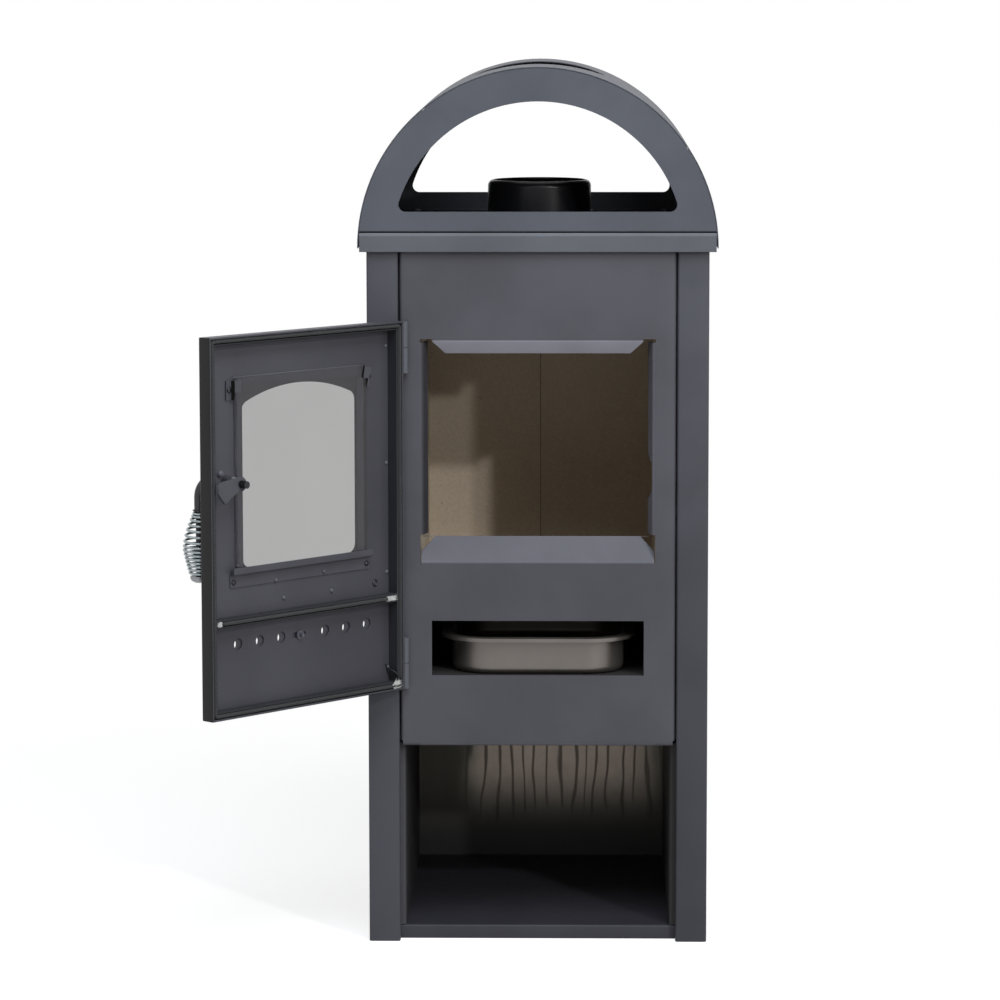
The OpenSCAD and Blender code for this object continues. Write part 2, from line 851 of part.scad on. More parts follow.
function quarter(c, r, a0) =
    [for (k = [0:bend_steps]) let (a = a0 + 90 * k / bend_steps) c + r * [cos(a), sin(a)]];

// A rectangle whose two outer corners are round, in plan and in side view
function soft_u(x, y, r) = concat(
    quarter([x[0] + r, y[0] + r], r, 180), quarter([x[1] - r, y[0] + r], r, 270),
    [[x[1], y[1]], [x[0], y[1]]]);
function soft_u_side(z, y, r) = concat(
    quarter([y[0] + r, z[0] + r], r, 180), [[y[1], z[0]], [y[1], z[1]]],
    quarter([y[0] + r, z[1] - r], r, 90));

window_x = window_w / 2;
window_low = fire_sill + window_up;
window_crown = window_low + window_h;

// Arched window, as [x, z] about the middle of the door
module window_shape() {
    arc_z = window_crown - window_arc;
    c = [window_x - window_corner,
        arc_z + sqrt(pow(window_arc - window_corner, 2) - pow(window_x - window_corner, 2))];
    out = atan2(c[1] - arc_z, c[0]);
    foot = [window_x - window_corner, window_low + window_corner];
    difference() {
        intersection() {
            translate([0, arc_z]) circle(window_arc, $fn = 128);
            translate([-window_x, window_low]) square([window_w, window_h]);
        }
        for (s = [0, 1])
            mirror([s, 0]) {
                corner_waste(c, window_corner, 0, out);
                corner_waste(foot, window_corner, -90, 0);
            }
    }
}

air_x = [for (s = [-1, 1], i = [1:3]) s * (i * air_pitch + 1)];
air_h = divider_h - air_drop;
air_mid = door_mid + air_off;

edge_r = 3;   // radius of the outer edges of the door

module door_skin() {
    color(paint)
        on_door()
            difference() {
                pan_block(0, door_d, edge_r);
                translate([0, joint, 0]) pan_block(door_t, door_d - door_t + joint, edge_r - door_t + 0.5);
                translate([door_mid, 0, 0]) front_view(skin_out - joint, skin_in + joint) window_shape();
                for (x = air_x)
                    rod_y(air_mid + x, air_h, skin_out - joint, skin_in + joint, air_d);
                screw_slot(skin_out - joint, skin_in + joint);
                rod_y(rod_x, rod_h, skin_out - joint, skin_in + joint, bush_d + 0.2);
                for (p = clip_screw_at)
                    rod_y(p[0], p[1], skin_out - joint, skin_in + joint, 3.2);
                for (p = ledge_screw_at)
                    rod_y(p[0], p[1], skin_out - joint, skin_in + joint, 3.2);
            }
}

slot_d = 5.2;   // height of the slot that the screw of the air slide runs in

module screw_slot(y0, y1) {
    for (x = [-1, air_travel + 1])
        rod_y(air_mid + x, air_h, y0, y1, slot_d);
    block([air_mid - 1, y0, air_h - slot_d / 2], [air_mid + air_travel + 1, y1, air_h + slot_d / 2]);
}

channel_depth = door_d - door_t - 2;
strip_t = 1.5;

module ring_shape(inset, w) {
    difference() {
        translate([door_x + inset, door_z + inset]) square([door_w - 2 * inset, door_h - 2 * inset]);
        translate([door_x + inset + w, door_z + inset + w])
            square([door_w - 2 * (inset + w), door_h - 2 * (inset + w)]);
    }
}

module rope_channel() {
    half = rope_w / 2 + seat;
    x = [door_x + channel_in + 0.5, door_x + door_w - channel_in - 0.5];
    color(paint)
        on_door() {
            front_view(skin_in, skin_in + channel_depth) ring_shape(channel_in, strip_t);
            for (z = [divider_h + half, divider_h - half - strip_t])
                block([x[0], skin_in, z], [x[1], skin_in + channel_depth, z + strip_t]);
        }
}

// Section of the rope, which is pressed flat between the walls of its channel
module rope_section() {
    low = seat + rope_w / 2;
    high = front_y - seat - skin_in - rope_w / 2;
    translate([-rope_w / 2, low]) square([rope_w, high - low]);
    translate([0, low]) circle(rope_w / 2);
    translate([0, high]) circle(rope_w / 2);
}

module rope_run(l) {
    rotate([90, 0, 90]) linear_extrude(l) rope_section();
}

module rope_seal() {
    edge = door_t + seat + rope_w / 2;
    r = rope_w / 2 + 0.2;
    x = [door_x + edge, door_x + door_w - edge];
    z = [door_z + edge, door_z + door_h - edge];
    color("#4e4f55")
        on_door()
            translate([0, skin_in, 0])
                rotate([90, 0, 0]) mirror([0, 0, 1]) {
                    for (zz = z)
                        translate([x[0] + r, zz, 0]) rope_run(x[1] - x[0] - 2 * r);
                    for (xx = x)
                        translate([xx, z[0] + r, 0]) rotate(90) rope_run(z[1] - z[0] - 2 * r);
                    for (i = [0, 1], j = [0, 1])
                        translate([x[i] + (1 - 2 * i) * r, z[j] + (1 - 2 * j) * r, 0])
                            rotate(i == j ? (i == 0 ? 180 : 0) : (i == 0 ? 90 : 270))
                                rotate_extrude(angle = 90) translate([r, 0]) rope_section();
                }
}

module divider_rope() {
    l = door_w - 2 * (channel_in + strip_t) - 1;
    color("#4e4f55")
        on_door()
            translate([door_mid - l / 2, skin_in, divider_h])
                rotate([90, 0, 0]) mirror([0, 0, 1]) rope_run(l);
}

glass_x = window_x + glass_lap;
glass_low = window_low - 4;
glass_high = window_crown + glass_lap;
glass_face = skin_in + tape_t + glass_t;   // inner face of the glass

module glass_seal() {
    color("#d8d5cc")
        on_door()
            translate([door_mid, 0, 0])
                front_view(skin_in, skin_in + tape_t)
                    difference() {
                        translate([-glass_x + 1, glass_low + 0.5])
                            square([2 * glass_x - 2, glass_high - glass_low - 1]);
                        translate([-window_x - 1, glass_low + 3])
                            square([window_w + 2, window_h + 2]);
                    }
}

module glass_pane() {
    color([0.8, 0.85, 0.85, 0.35])
        on_door()
            block([door_mid - glass_x, skin_in + tape_t, glass_low],
                [door_mid + glass_x, glass_face, glass_high]);
}

clip_t = 1.5;
clip_h = 22;
clip_z = glass_high - 13;
clip_over = 9;    // length of a clip over the glass
clip_out = 11.5;    // length of its foot beside the glass
clip_screw_at = [for (s = [-1, 1]) [door_mid + s * (glass_x + clip_out - 4.2), clip_z]];

module clip() {
    sheet_up([
        [glass_x - clip_over, glass_face + clip_t / 2 + 0.05], [glass_x + 3, glass_face + clip_t / 2 + 0.05],
        [glass_x + 3, skin_in + clip_t / 2], [glass_x + clip_out, skin_in + clip_t / 2]
    ], clip_z - clip_h / 2, clip_z + clip_h / 2, clip_t, 0.5);
}

module glass_clips() {
    color(raw_steel)
        on_door()
            difference() {
                translate([door_mid, 0, 0]) both_sides() clip();
                for (p = clip_screw_at)
                    rod_y(p[0], p[1], skin_in - joint, skin_in + 5, 3.2);
            }
}

module door_screw(p, y, head_d, head_h, l) {
    translate([p[0], y, p[1]]) rotate([-90, 0, 0]) dome_screw(head_d, head_h, 3, l);
}

module clip_screws() {
    color(raw_steel)
        on_door()
            for (p = clip_screw_at)
                door_screw(p, skin_in + clip_t, 6.5, 2.6, clip_t + door_t);
}

ledge_x = glass_x + 7.5;
ledge_screw_at = [for (s = [-1, 1]) [door_mid + s * (glass_x + 3), glass_low - 10]];

module glass_ledge() {
    color(paint)
        on_door()
            difference() {
                translate([door_mid, 0, 0])
                    sheet_across([
                        [skin_in + clip_t / 2, glass_low - 16],
                        [skin_in + clip_t / 2, glass_low - clip_t / 2 - 0.5],
                        [glass_face + clip_t / 2 + 0.05, glass_low - clip_t / 2 - 0.5],
                        [glass_face + clip_t / 2 + 0.05, glass_low + 6]
                    ], -ledge_x, ledge_x, clip_t, 0.5);
                for (p = ledge_screw_at)
                    rod_y(p[0], p[1], skin_in - joint, skin_in + 3, 3.2);
            }
}

module ledge_screws() {
    color(raw_steel)
        on_door()
            for (p = ledge_screw_at)
                door_screw(p, skin_in + clip_t, 6, 2.4, clip_t + door_t);
}

// Rivets on the inner side of the door, from its middle and the divider rope; the last value is 1
// on the ledge
rivet_at = [[38, 37, 1], [-35, 39, 1], [25, 16, 0], [-48, 16, 0]];

module door_rivets() {
    color(raw_steel)
        on_door()
            for (p = rivet_at)
                translate([door_mid + p[0], skin_in + p[2] * clip_t, divider_h + p[1]])
                    rotate([-90, 0, 0]) dome_screw(5, 1.8, 1, 0);
}

bush_d = 14;
bush_out = 4;        // length of the bush in front of the door
bush_flange = 20;
bush_in = skin_in + 12;

module latch_bush() {
    color(raw_steel)
        on_door()
            difference() {
                union() {
                    rod_y(rod_x, rod_h, skin_out - bush_out, bush_in, bush_d);
                    rod_y(rod_x, rod_h, skin_out - 2.5, skin_out, bush_flange);
                }
                rod_y(rod_x, rod_h, skin_out - 10, bush_in + 5, rod_d + 2 * rod_play);
            }
}

module bush_rivet() {
    color(raw_steel)
        on_door()
            translate([rod_x + 9, skin_in, rod_h + 10]) rotate([-90, 0, 0]) dome_screw(8, 4.5, 1, 0);
}

// ---------------------------------------------------------------- latch
shoulder = skin_out - bush_out - seat;   // where the lever is turned down for its bush
pin_end = cam_y + cam_t + 9;

module lever_rod() {
    bend_y = grip_y + rod_bend;
    bend_z = rod_h - rod_bend;
    color("#222226")
        on_door() {
            rod_y(rod_x, rod_h, bend_y - 0.01, shoulder, lever_d);
            rod_y(rod_x, rod_h, shoulder - joint, pin_end, rod_d);
            translate([rod_x, bend_y, bend_z])
                rotate([90, 0, 90])
                    rotate(90) rotate_extrude(angle = 90) translate([rod_bend, 0]) circle(d = lever_d);
            translate([rod_x, grip_y, grip_top]) cylinder(h = bend_z - grip_top + 0.01, d = lever_d);
            translate([rod_x, grip_y, grip_top - grip_l - 5]) cylinder(h = grip_l + 5 + joint, d = rod_d);
        }
}

// The cam, as [outwards, up] from the lever
module latch_cam() {
    color(raw_steel)
        on_door()
            difference() {
                union() {
                    rod_y(rod_x, rod_h, cam_y, cam_y + cam_t, cam_eye);
                    translate([rod_x, 0, rod_h])
                        front_view(cam_y, cam_y + cam_t)
                            polygon([
                                [0, 7.6], [cam_reach - 4, 4], [cam_reach - 1, 2], [cam_reach, -1],
                                [cam_reach - 0.5, -8], [cam_reach - 3, -12], [cam_reach - 10, -20],
                                [cam_reach - 19, -14], [3, -7], [0, -6]
                            ]);
                }
                rod_y(rod_x, rod_h, cam_y - joint, cam_y + cam_t + joint, rod_d);
            }
}

cam_eye = 16;

// The grip: one wire wound into a drop, whose ends run straight up and down to the washer and the cap
grip_top = rod_h - grip_drop;
washer_h = 1.2;
coil_top = grip_top - washer_h;
coil_l = grip_l - washer_h;
curl = 8;                                     // rings in one turn
turns = curl * grip_coils;
top_r = rod_d / 2 + wire_d / 2 + 0.4;         // radius of the middle of the wire at the top
wide_r = grip_r - wire_d / 2;
low_r = grip_end_r - wire_d / 2;
belly = 0.57;                                 // where the grip is widest, from the top

function drop_r(t) = t < belly
    ? top_r + (wide_r - top_r) * sin(90 * t / belly)
    : wide_r - (wide_r - low_r) * pow((t - belly) / (1 - belly), 1.1);

end_h = 1.6 * wire_d;                         // height of each straight end and the bend into it
wound = coil_l - 2 * end_h;
first_a = 200;                                // where the wire starts, away from the door

function coil_point(t) =
    let (r = drop_r(t), a = first_a + 360 * grip_coils * t)
    [r * cos(a), r * sin(a), -end_h - wound * t];

wire_path = concat(
    [[top_r * cos(first_a), top_r * sin(first_a), 0], [top_r * cos(first_a), top_r * sin(first_a), -wire_d]],
    [for (i = [0:turns]) coil_point(i / turns)],
    [
        [low_r * cos(first_a), low_r * sin(first_a), -coil_l + wire_d],
        [low_r * cos(first_a), low_r * sin(first_a), -coil_l]
    ]
);

wire_n = len(wire_path);
sides = 6;

function wire_ring(i) =
    let (
        p = wire_path[i],
        ahead = i < 2 || i > wire_n - 3 ? [0, 0, -1]
            : unit(wire_path[min(i + 1, wire_n - 1)] - wire_path[max(i - 1, 0)]),
        radial = unit([p[0], p[1], 0]),
        u = unit(radial - ahead * (radial * ahead)),
        v = cross(ahead, u)
    )
    [for (k = [0:sides - 1]) p + wire_d / 2 * (u * cos(360 * k / sides) + v * sin(360 * k / sides))];

// Least gap between two turns, between points of the wire that are half a turn apart or more
wire_gap = min([
    for (i = [2:wire_n - 3], j = [i + curl / 2:1:wire_n - 3]) norm(wire_path[i] - wire_path[j])
]) - wire_d;
echo(least_gap_of_the_grip = wire_gap);

module grip_spring() {
    points = [for (i = [0:wire_n - 1]) each wire_ring(i)];
    faces = concat(
        [for (i = [0:wire_n - 2], k = [0:sides - 1])
            let (a = i * sides + k, b = i * sides + (k + 1) % sides)
            each [[a, b, a + sides], [b, b + sides, a + sides]]],
        [for (k = [1:sides - 2]) [0, k + 1, k]],
        [for (k = [1:sides - 2]) let (e = (wire_n - 1) * sides) [e, e + k, e + k + 1]]
    );
    color("#b9bcc0") on_door() translate([rod_x, grip_y, coil_top]) polyhedron(points, faces);
}

module grip_washer() {
    color(raw_steel)
        on_door()
            translate([rod_x, grip_y, coil_top])
                difference() {
                    cylinder(h = washer_h, d = 2 * top_r + wire_d);
                    translate([0, 0, -joint]) cylinder(h = washer_h + 2 * joint, d = rod_d);
                }
}

module grip_cap() {
    r = grip_end_r - 0.5;
    color(raw_steel)
        on_door()
            translate([rod_x, grip_y, grip_top - grip_l])
                difference() {
                    rotate_extrude()
                        polygon([[0, 0], [r, 0], [r, -2.5], [r * 0.86, -5], [r * 0.5, -7], [0, -7.6]]);
                    translate([0, 0, -5]) cylinder(h = 10, d = rod_d);
                }
}

// ---------------------------------------------------------------- air slide
slide_t = 1.5;
slide_h = 30;
slide_x = 3 * air_pitch + 22;
slide_out = skin_out - seat - slide_t;

module air_slide() {
    color(paint)
        on_door()
            translate([air_shift, 0, 0])
                difference() {
                    block([air_mid - slide_x, slide_out, air_h - slide_h / 2],
                        [air_mid + slide_x, skin_out - seat, air_h + slide_h / 2]);
                    for (x = air_x)
                        rod_y(air_mid + x, air_h, slide_out - joint, skin_out + joint, air_d);
                    rod_y(air_mid, air_h, slide_out - joint, skin_out + joint, 4.2);
                }
}

module slide_knob() {
    color("#222226")
        on_door()
            translate([air_mid + air_shift, slide_out, air_h])
                rotate([90, 0, 0])
                    rotate_extrude()
                        polygon([
                            [2.1, 0], [5, 0], [5, 6], [8, 10], [9, 14],
                            [8, 18], [5, 20], [0, 20.5], [0, 14], [2.1, 14]
                        ]);
}

module slide_screw() {
    color(raw_steel)
        on_door()
            translate([air_shift, 0, 0]) {
                rod_y(air_mid, air_h, slide_out - 12, skin_in + seat + 6, 4);
                rod_y(air_mid, air_h, skin_in + seat, skin_in + seat + 1.5, 10);
            }
}

guide_x = slide_x + 10;
guide_gap = slide_t + 2 * seat;

module slide_guides() {
    color(paint)
        on_door()
            translate([air_mid, 0, 0])
                for (s = [-1, 1])
                    translate([0, 0, air_h]) mirror([0, 0, s > 0 ? 0 : 1])
                        sheet_across([
                            [skin_out - guide_gap - 0.75, slide_h / 2 - 5],
                            [skin_out - guide_gap - 0.75, slide_h / 2 + 1.5],
                            [skin_out - 0.75, slide_h / 2 + 1.5], [skin_out - 0.75, slide_h / 2 + 12]
                        ], -guide_x, guide_x, 1.5, 0.3);
}

module guide_rivets() {
    color(raw_steel)
        on_door()
            for (x = [-1, 1], s = [-1, 1])
                translate([air_mid + x * (guide_x - 8), skin_out - 1.5, air_h + s * (slide_h / 2 + 7)])
                    rotate([90, 0, 0]) dome_screw(6, 2, 1, 0);
}

// ---------------------------------------------------------------- grate and ash pan
module grate() {
    pitch = (grate_l - 24) / grate_slots;
    color("#3a3836")
        difference() {
            block([-grate_w / 2, grate_y - grate_l / 2, hearth_z + seat],
                [grate_w / 2, grate_y + grate_l / 2, hearth_z + seat + grate_t]);
            for (i = [0:grate_slots - 1], s = [-1, 1])
                translate([s * (grate_w / 4 - 2), grate_y - grate_l / 2 + 12 + pitch * (i + 0.5), hearth_z])
                    slot_cut(grate_w / 2 - 18, slot_w);
        }
}

module slot_cut(l, w) {
    block([-l / 2 + w / 2, -w / 2, -joint], [l / 2 - w / 2, w / 2, grate_t + 3]);
    for (s = [-1, 1])
        translate([s * (l / 2 - w / 2), 0, -joint]) cylinder(h = grate_t + 4, d = w);
}

pan_front = front_y - 5;
pan_z = ash_sill + seat;

// A block with round corners in plan
module round_block(x, y0, y1, z0, z1, r) {
    block([-x + r, y0, z0], [x - r, y1, z1]);
    block([-x, y0 + r, z0], [x, y1 - r, z1]);
    for (i = [-1, 1], y = [y0 + r, y1 - r])
        translate([i * (x - r), y, z0]) cylinder(h = z1 - z0, r = r);
}

// Half section of the pan: its bottom edge is round
module pan_section(r, h) {
    square([r - pan_fillet, h]);
    translate([0, pan_fillet]) square([r, h - pan_fillet]);
    translate([r - pan_fillet, pan_fillet]) circle(pan_fillet);
}

// A tub whose corners and bottom edge are round, with its middle at the middle of the pan
module tub(x, y, z0, h, r) {
    translate([0, pan_front + pan_l / 2, z0]) {
        block([-x + r, -y + r, 0], [x - r, y - r, h]);
        for (k = [0:3])
            rotate(90 * k) {
                across = k % 2 == 0 ? [x, y] : [y, x];
                translate([across[0] - r, across[1] - r, 0]) rotate_extrude(angle = 90) pan_section(r, h);
                translate([across[0] - r, across[1] - r, 0])
                    rotate([90, 0, 0]) linear_extrude(2 * (across[1] - r)) pan_section(r, h);
            }
    }
}

module ash_pan() {
    x = pan_w / 2;
    y = [pan_front, pan_front + pan_l];
    rim_z = pan_z + pan_h - pan_t;
    tub_x = x - pan_rim;
    tub_y = pan_l / 2 - pan_rim;
    color(raw_steel)
        difference() {
            union() {
                tub(tub_x, tub_y, pan_z, pan_h, pan_corner);
                round_block(x, y[0], y[1], rim_z, rim_z + pan_t, pan_corner + pan_rim);
                difference() {
                    round_block(x, y[0], y[1], rim_z - rim_fold, rim_z + pan_t / 2, pan_corner + pan_rim);
                    round_block(x - pan_t, y[0] + pan_t, y[1] - pan_t, rim_z - 2 * rim_fold, rim_z + pan_t,
                        pan_corner + pan_rim - pan_t);
                }
            }
            tub(tub_x - pan_t, tub_y - pan_t, pan_z + pan_t, pan_h + joint, pan_corner - pan_t);
        }
}

rim_fold = 3;   // depth to which the rim is folded down

base_plate();
base_rib();
side_panel_left();
side_panel_right();
rear_panel();
rear_screws();
front_plate();
top_plate();
niche_side_left();
niche_side_right();
niche_ceiling();
firebox_shell();
firebox_brackets();
hearth_plate();
lining_left();
lining_right();
lining_back_left();
lining_back_right();
floor_bricks();
baffle_plate();
flue_collar();
collar_bolts();
canopy_front();
canopy_rear();
canopy_roof();
canopy_screws();
hinge_barrels_cabinet();
hinge_pins();
hinge_washers();
grate();
ash_pan();
door_skin();
rope_channel();
rope_seal();
divider_rope();
glass_seal();
glass_pane();
glass_clips();
clip_screws();
glass_ledge();
ledge_screws();
door_rivets();
hinge_barrels_door();
latch_bush();
bush_rivet();
slide_guides();
guide_rivets();
lever_rod();
latch_cam();
grip_spring();
grip_washer();
grip_cap();
air_slide();
slide_knob();
slide_screw();
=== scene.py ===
# %% [markdown]
# # A wood stove of folded sheet steel
# The stove stands open, as it does when it is being filled. The frame loaded here holds every rigid piece at
# its real size, with the door, the latch, the air slide, the ash pan and the grate each on a body of its own.
# This script gives those pieces their finishes and makes what plain solids cannot show: the braided rope, the
# coiled wire grip, screw heads with their slots, frayed ends, and the light of a product photograph.

# %% The frame
import json
import math
import random
import bmesh
import bpy
from mathutils import Matrix, Vector

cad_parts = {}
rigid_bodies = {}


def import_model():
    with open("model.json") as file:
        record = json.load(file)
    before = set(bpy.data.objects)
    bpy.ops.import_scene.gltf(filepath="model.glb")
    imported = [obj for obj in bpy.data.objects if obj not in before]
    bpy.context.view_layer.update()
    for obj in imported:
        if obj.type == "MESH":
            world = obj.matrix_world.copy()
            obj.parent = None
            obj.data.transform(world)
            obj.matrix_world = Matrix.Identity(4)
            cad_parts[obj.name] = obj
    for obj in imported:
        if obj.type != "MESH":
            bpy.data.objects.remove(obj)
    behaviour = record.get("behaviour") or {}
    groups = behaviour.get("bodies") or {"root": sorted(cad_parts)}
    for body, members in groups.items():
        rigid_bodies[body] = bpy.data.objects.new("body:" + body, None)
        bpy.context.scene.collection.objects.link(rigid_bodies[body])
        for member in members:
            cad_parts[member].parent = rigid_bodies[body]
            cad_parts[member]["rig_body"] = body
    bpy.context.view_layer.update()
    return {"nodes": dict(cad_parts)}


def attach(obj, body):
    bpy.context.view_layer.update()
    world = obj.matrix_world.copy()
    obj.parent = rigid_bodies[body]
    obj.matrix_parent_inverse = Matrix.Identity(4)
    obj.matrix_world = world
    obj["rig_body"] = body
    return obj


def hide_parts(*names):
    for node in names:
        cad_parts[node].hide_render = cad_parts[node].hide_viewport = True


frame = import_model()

nodes = frame["nodes"]
MM = 0.001

# %% [markdown]
# ## The camera
# A product photograph is taken from far away with a long lens, so that upright edges stay upright. The place
# and the lens were worked out from the corners of the cabinet, whose sizes are known. A camera in Blender
# looks along its own -Z, so its rotation is built from the direction it looks in and the way that is up.

# %% Camera
FRAME_PX = 1000
FOCAL_PX = 4254.5
CAMERA_AT = (0.0453, -4.9022, 1.0936)
YAW, PITCH, ROLL = math.radians(-1.065), math.radians(7.167), math.radians(-0.063)

lens = bpy.data.cameras.new("view")
lens.sensor_width = 36
lens.lens = FOCAL_PX / FRAME_PX * lens.sensor_width
lens.clip_end = 50
camera = bpy.data.objects.new("view", lens)
ahead = Vector((math.sin(YAW) * math.cos(PITCH), math.cos(YAW) * math.cos(PITCH), -math.sin(PITCH)))
right = Vector((math.cos(YAW), -math.sin(YAW), 0))
up = right.cross(ahead)
right, up = (right * math.cos(ROLL) + up * math.sin(ROLL), up * math.cos(ROLL) - right * math.sin(ROLL))
axes = Matrix((right, up, -ahead)).transposed().to_4x4()
camera.matrix_world = Matrix.Translation(CAMERA_AT) @ axes
bpy.context.collection.objects.link(camera)
bpy.context.scene.camera = camera
bpy.context.scene.view_settings.view_transform = "Standard"
print("lens of", round(lens.lens, 1), "mm")

# %% [markdown]
# ## Where the door stands
# The photograph shows the door open by 132 degrees. Its pieces are easiest to draw with the door shut, square to
# the axes, and are then turned about the hinge. The paint of the door needs the same turn, to find its way along
# the sheet.

# %% The turn of the door
HINGE_AT = (-0.1485, -0.206)
DOOR_OPEN = math.radians(132)
HINGE = Vector((*HINGE_AT, 0))
DOOR = Matrix.Translation(HINGE) @ Matrix.Rotation(-DOOR_OPEN, 4, "Z") @ Matrix.Translation(-HINGE)
NO_TURN = Matrix.Identity(4)
print("door open by", round(math.degrees(DOOR_OPEN)), "degrees about", HINGE_AT)

# %% [markdown]
# ## Materials as sums
# A finish is a small sum: a colour, plus a little noise, times a mask. Written as Python, such a sum reads like
# one. The class below wraps a socket of the node tree, so that 1 - mask or mask * 0.3 adds the Math nodes by
# itself, and one method adds any other node from its type, its settings and what its sockets take.

# %% A socket that can be added and multiplied
class Value:
    def __init__(self, finish, socket):
        self.finish, self.socket = finish, socket

    def sum(self, operation, *others, first=None):
        terms = [self, *others] if first is None else [first, self]
        return self.finish.node("ShaderNodeMath", {"operation": operation}, dict(enumerate(terms)))

    def __add__(self, other):
        return self.sum("ADD", other)

    def __sub__(self, other):
        return self.sum("SUBTRACT", other)

    def __mul__(self, other):
        return self.sum("MULTIPLY", other)

    def __truediv__(self, other):
        return self.sum("DIVIDE", other)

    def __rsub__(self, other):
        return self.sum("SUBTRACT", first=other)

    __radd__ = __add__

    def rise(self, low, high):
        """0 below low, 1 above high, and smooth between them."""
        return self.finish.node("ShaderNodeMapRange", {"interpolation_type": "SMOOTHSTEP"},
                                {"Value": self, "From Min": low, "From Max": high}, "Result")


def srgb(r, g, b):
    """A colour as a picture shows it, 0 to 255, as the linear values that a shader takes."""
    return tuple(((c / 255 + 0.055) / 1.055) ** 2.4 if c > 10 else c / 3295 for c in (r, g, b)) + (1,)


class Finish:
    """One material, built node by node."""

    def __init__(self, name, **constants):
        self.material = bpy.data.materials.new(name)
        self.material.use_nodes = True
        self.tree = self.material.node_tree
        self.shader = self.tree.nodes["Principled BSDF"]
        for socket, value in constants.items():
            self.shader.inputs[socket.replace("_", " ")].default_value = value
        self.place = self.node("ShaderNodeTexCoord", {}, {}, "Object")

    def node(self, kind, settings, sockets, out=0):
        """Adds a node with its settings and what its sockets take, and gives one of its outputs."""
        made = self.tree.nodes.new(kind)
        for key, value in settings.items():
            setattr(made, key, value)
        for key, value in sockets.items():
            if isinstance(value, Value):
                self.tree.links.new(value.socket, made.inputs[key])
            else:
                made.inputs[key].default_value = value
        return Value(self, made.outputs[out])

    def moved(self, scale, turn=(0, 0, 0)):
        return self.node("ShaderNodeMapping", {}, {"Vector": self.place, "Scale": scale, "Rotation": turn})

    def noise(self, scale, detail=3, rough=0.5, at=None):
        return self.node("ShaderNodeTexNoise", {}, {
            "Vector": at or self.place, "Scale": scale, "Detail": detail, "Roughness": rough})

    def axis(self, name):
        return self.node("ShaderNodeSeparateXYZ", {}, {0: self.place}, name)

    def along(self, way):
        """How far a place lies along a direction."""
        return self.node("ShaderNodeVectorMath", {"operation": "DOT_PRODUCT"}, {0: self.place, 1: way}, "Value")

    def mix(self, share, low, high):
        """A colour between two others. The Mix node keeps its colours on the sockets 6, 7 and 2."""
        return self.node("ShaderNodeMix", {"data_type": "RGBA"}, {0: share, 6: low, 7: high}, 2)

    def wear(self, **sockets):
        """Feeds what changes over the surface into the shader."""
        for name, value in sockets.items():
            self.tree.links.new(value.socket, self.shader.inputs[name.replace("_", " ")])
        return self

    def bump(self, height, depth, strength):
        relief = self.node("ShaderNodeBump", {}, {"Height": height, "Distance": depth, "Strength": strength})
        return self.wear(Normal=relief)


def shade(colour, share):
    """A colour made lighter or darker by a share."""
    return tuple(c * share for c in colour[:3]) + (1,)


print("helpers for finishes ready")

# %% [markdown]
# ## The paint
# Stove sheets are sprayed with a heat-proof paint that dries to a satin, faintly metallic grey. Seen close it
# is a fine sandy skin, and over a whole sheet its gloss drifts a little. Both are noise: a fine one for the
# relief and the sparkle, a broad one for the drift. The same recipe makes every painted piece, so it is a
# function of the colour and the gloss.

# %% Stove paint
SAND_SCALE, SAND_DEPTH = 1500, 0.00012
CLOUD_SCALE = 9
SMEARS = (60, 60, 9)
SPECK_SHARE, SPECK_LIGHT = 0.35, 1.8
SMEAR_GLOSS, SAND_GLOSS = 0.14, 0.1


def stove_paint(name, colour, gloss=0.5, drift=0.10, grain=1.0, tone=None):
    """tone(paint) may give a share by which the colour changes from place to place."""
    paint = Finish(name, Metallic=0.0, Specular_IOR_Level=0.25)
    sand = paint.noise(SAND_SCALE, 2, 0.6)
    cloud = paint.noise(CLOUD_SCALE, 3, 0.55)
    smear = paint.noise(1, 3, 0.6, paint.moved(SMEARS))
    body = paint.mix(cloud.rise(0.3, 0.7), shade(colour, 1 - drift), shade(colour, 1 + drift))
    speck = paint.mix(sand.rise(0.62, 0.8) * SPECK_SHARE, body, shade(colour, SPECK_LIGHT))
    if tone:
        speck = paint.node("ShaderNodeVectorMath", {"operation": "SCALE"}, {0: speck, "Scale": tone(paint)})
    paint.wear(Base_Color=speck, Roughness=gloss + (smear - 0.5) * SMEAR_GLOSS + (sand - 0.5) * SAND_GLOSS)
    return paint.bump(sand, SAND_DEPTH * grain, 0.5).material


print("paint grain of", round(1 / SAND_SCALE / MM, 2), "mm")

# %% [markdown]
# ## Where the paint and its painted light differ
# No sheet of a used stove has one even tone, and most changes below are painted light and shade: pale folds and
# edges are painted highlights, the flaps round the doorway are painted lighter or darker, and sides in the dark and
# the step under the canopy take painted shade. Each rule below gives the share by which the colour changes. Its
# borders are heights and depths of the CAD sheets in metres, as the start and the end of a change.

# %% Tones of the cabinet
BEHIND_PLATE = (-0.1999, -0.1995)
FLAP_ENDS, FLAP_CORNERS = (0.1312, 0.1316), (0.1215, 0.123)
SILL_FOLD, LINTEL_FOLD = (0.459, 0.4592), (0.655, 0.6551)
BASE_LIP, LIP_EDGE = (-0.1858, -0.1855), (0.0148, 0.0152)
NICHE_FACE = (-0.1859, -0.1855)
APRON_FOLD, APRON_FACE = (0.7965, 0.7970), (-0.2073, -0.2070)
ARCH_FOOT, ARCH_REAR = (0.8018, 0.8023), (0.2063, 0.2066)
MIDDLE_X = (-0.01, 0.01)


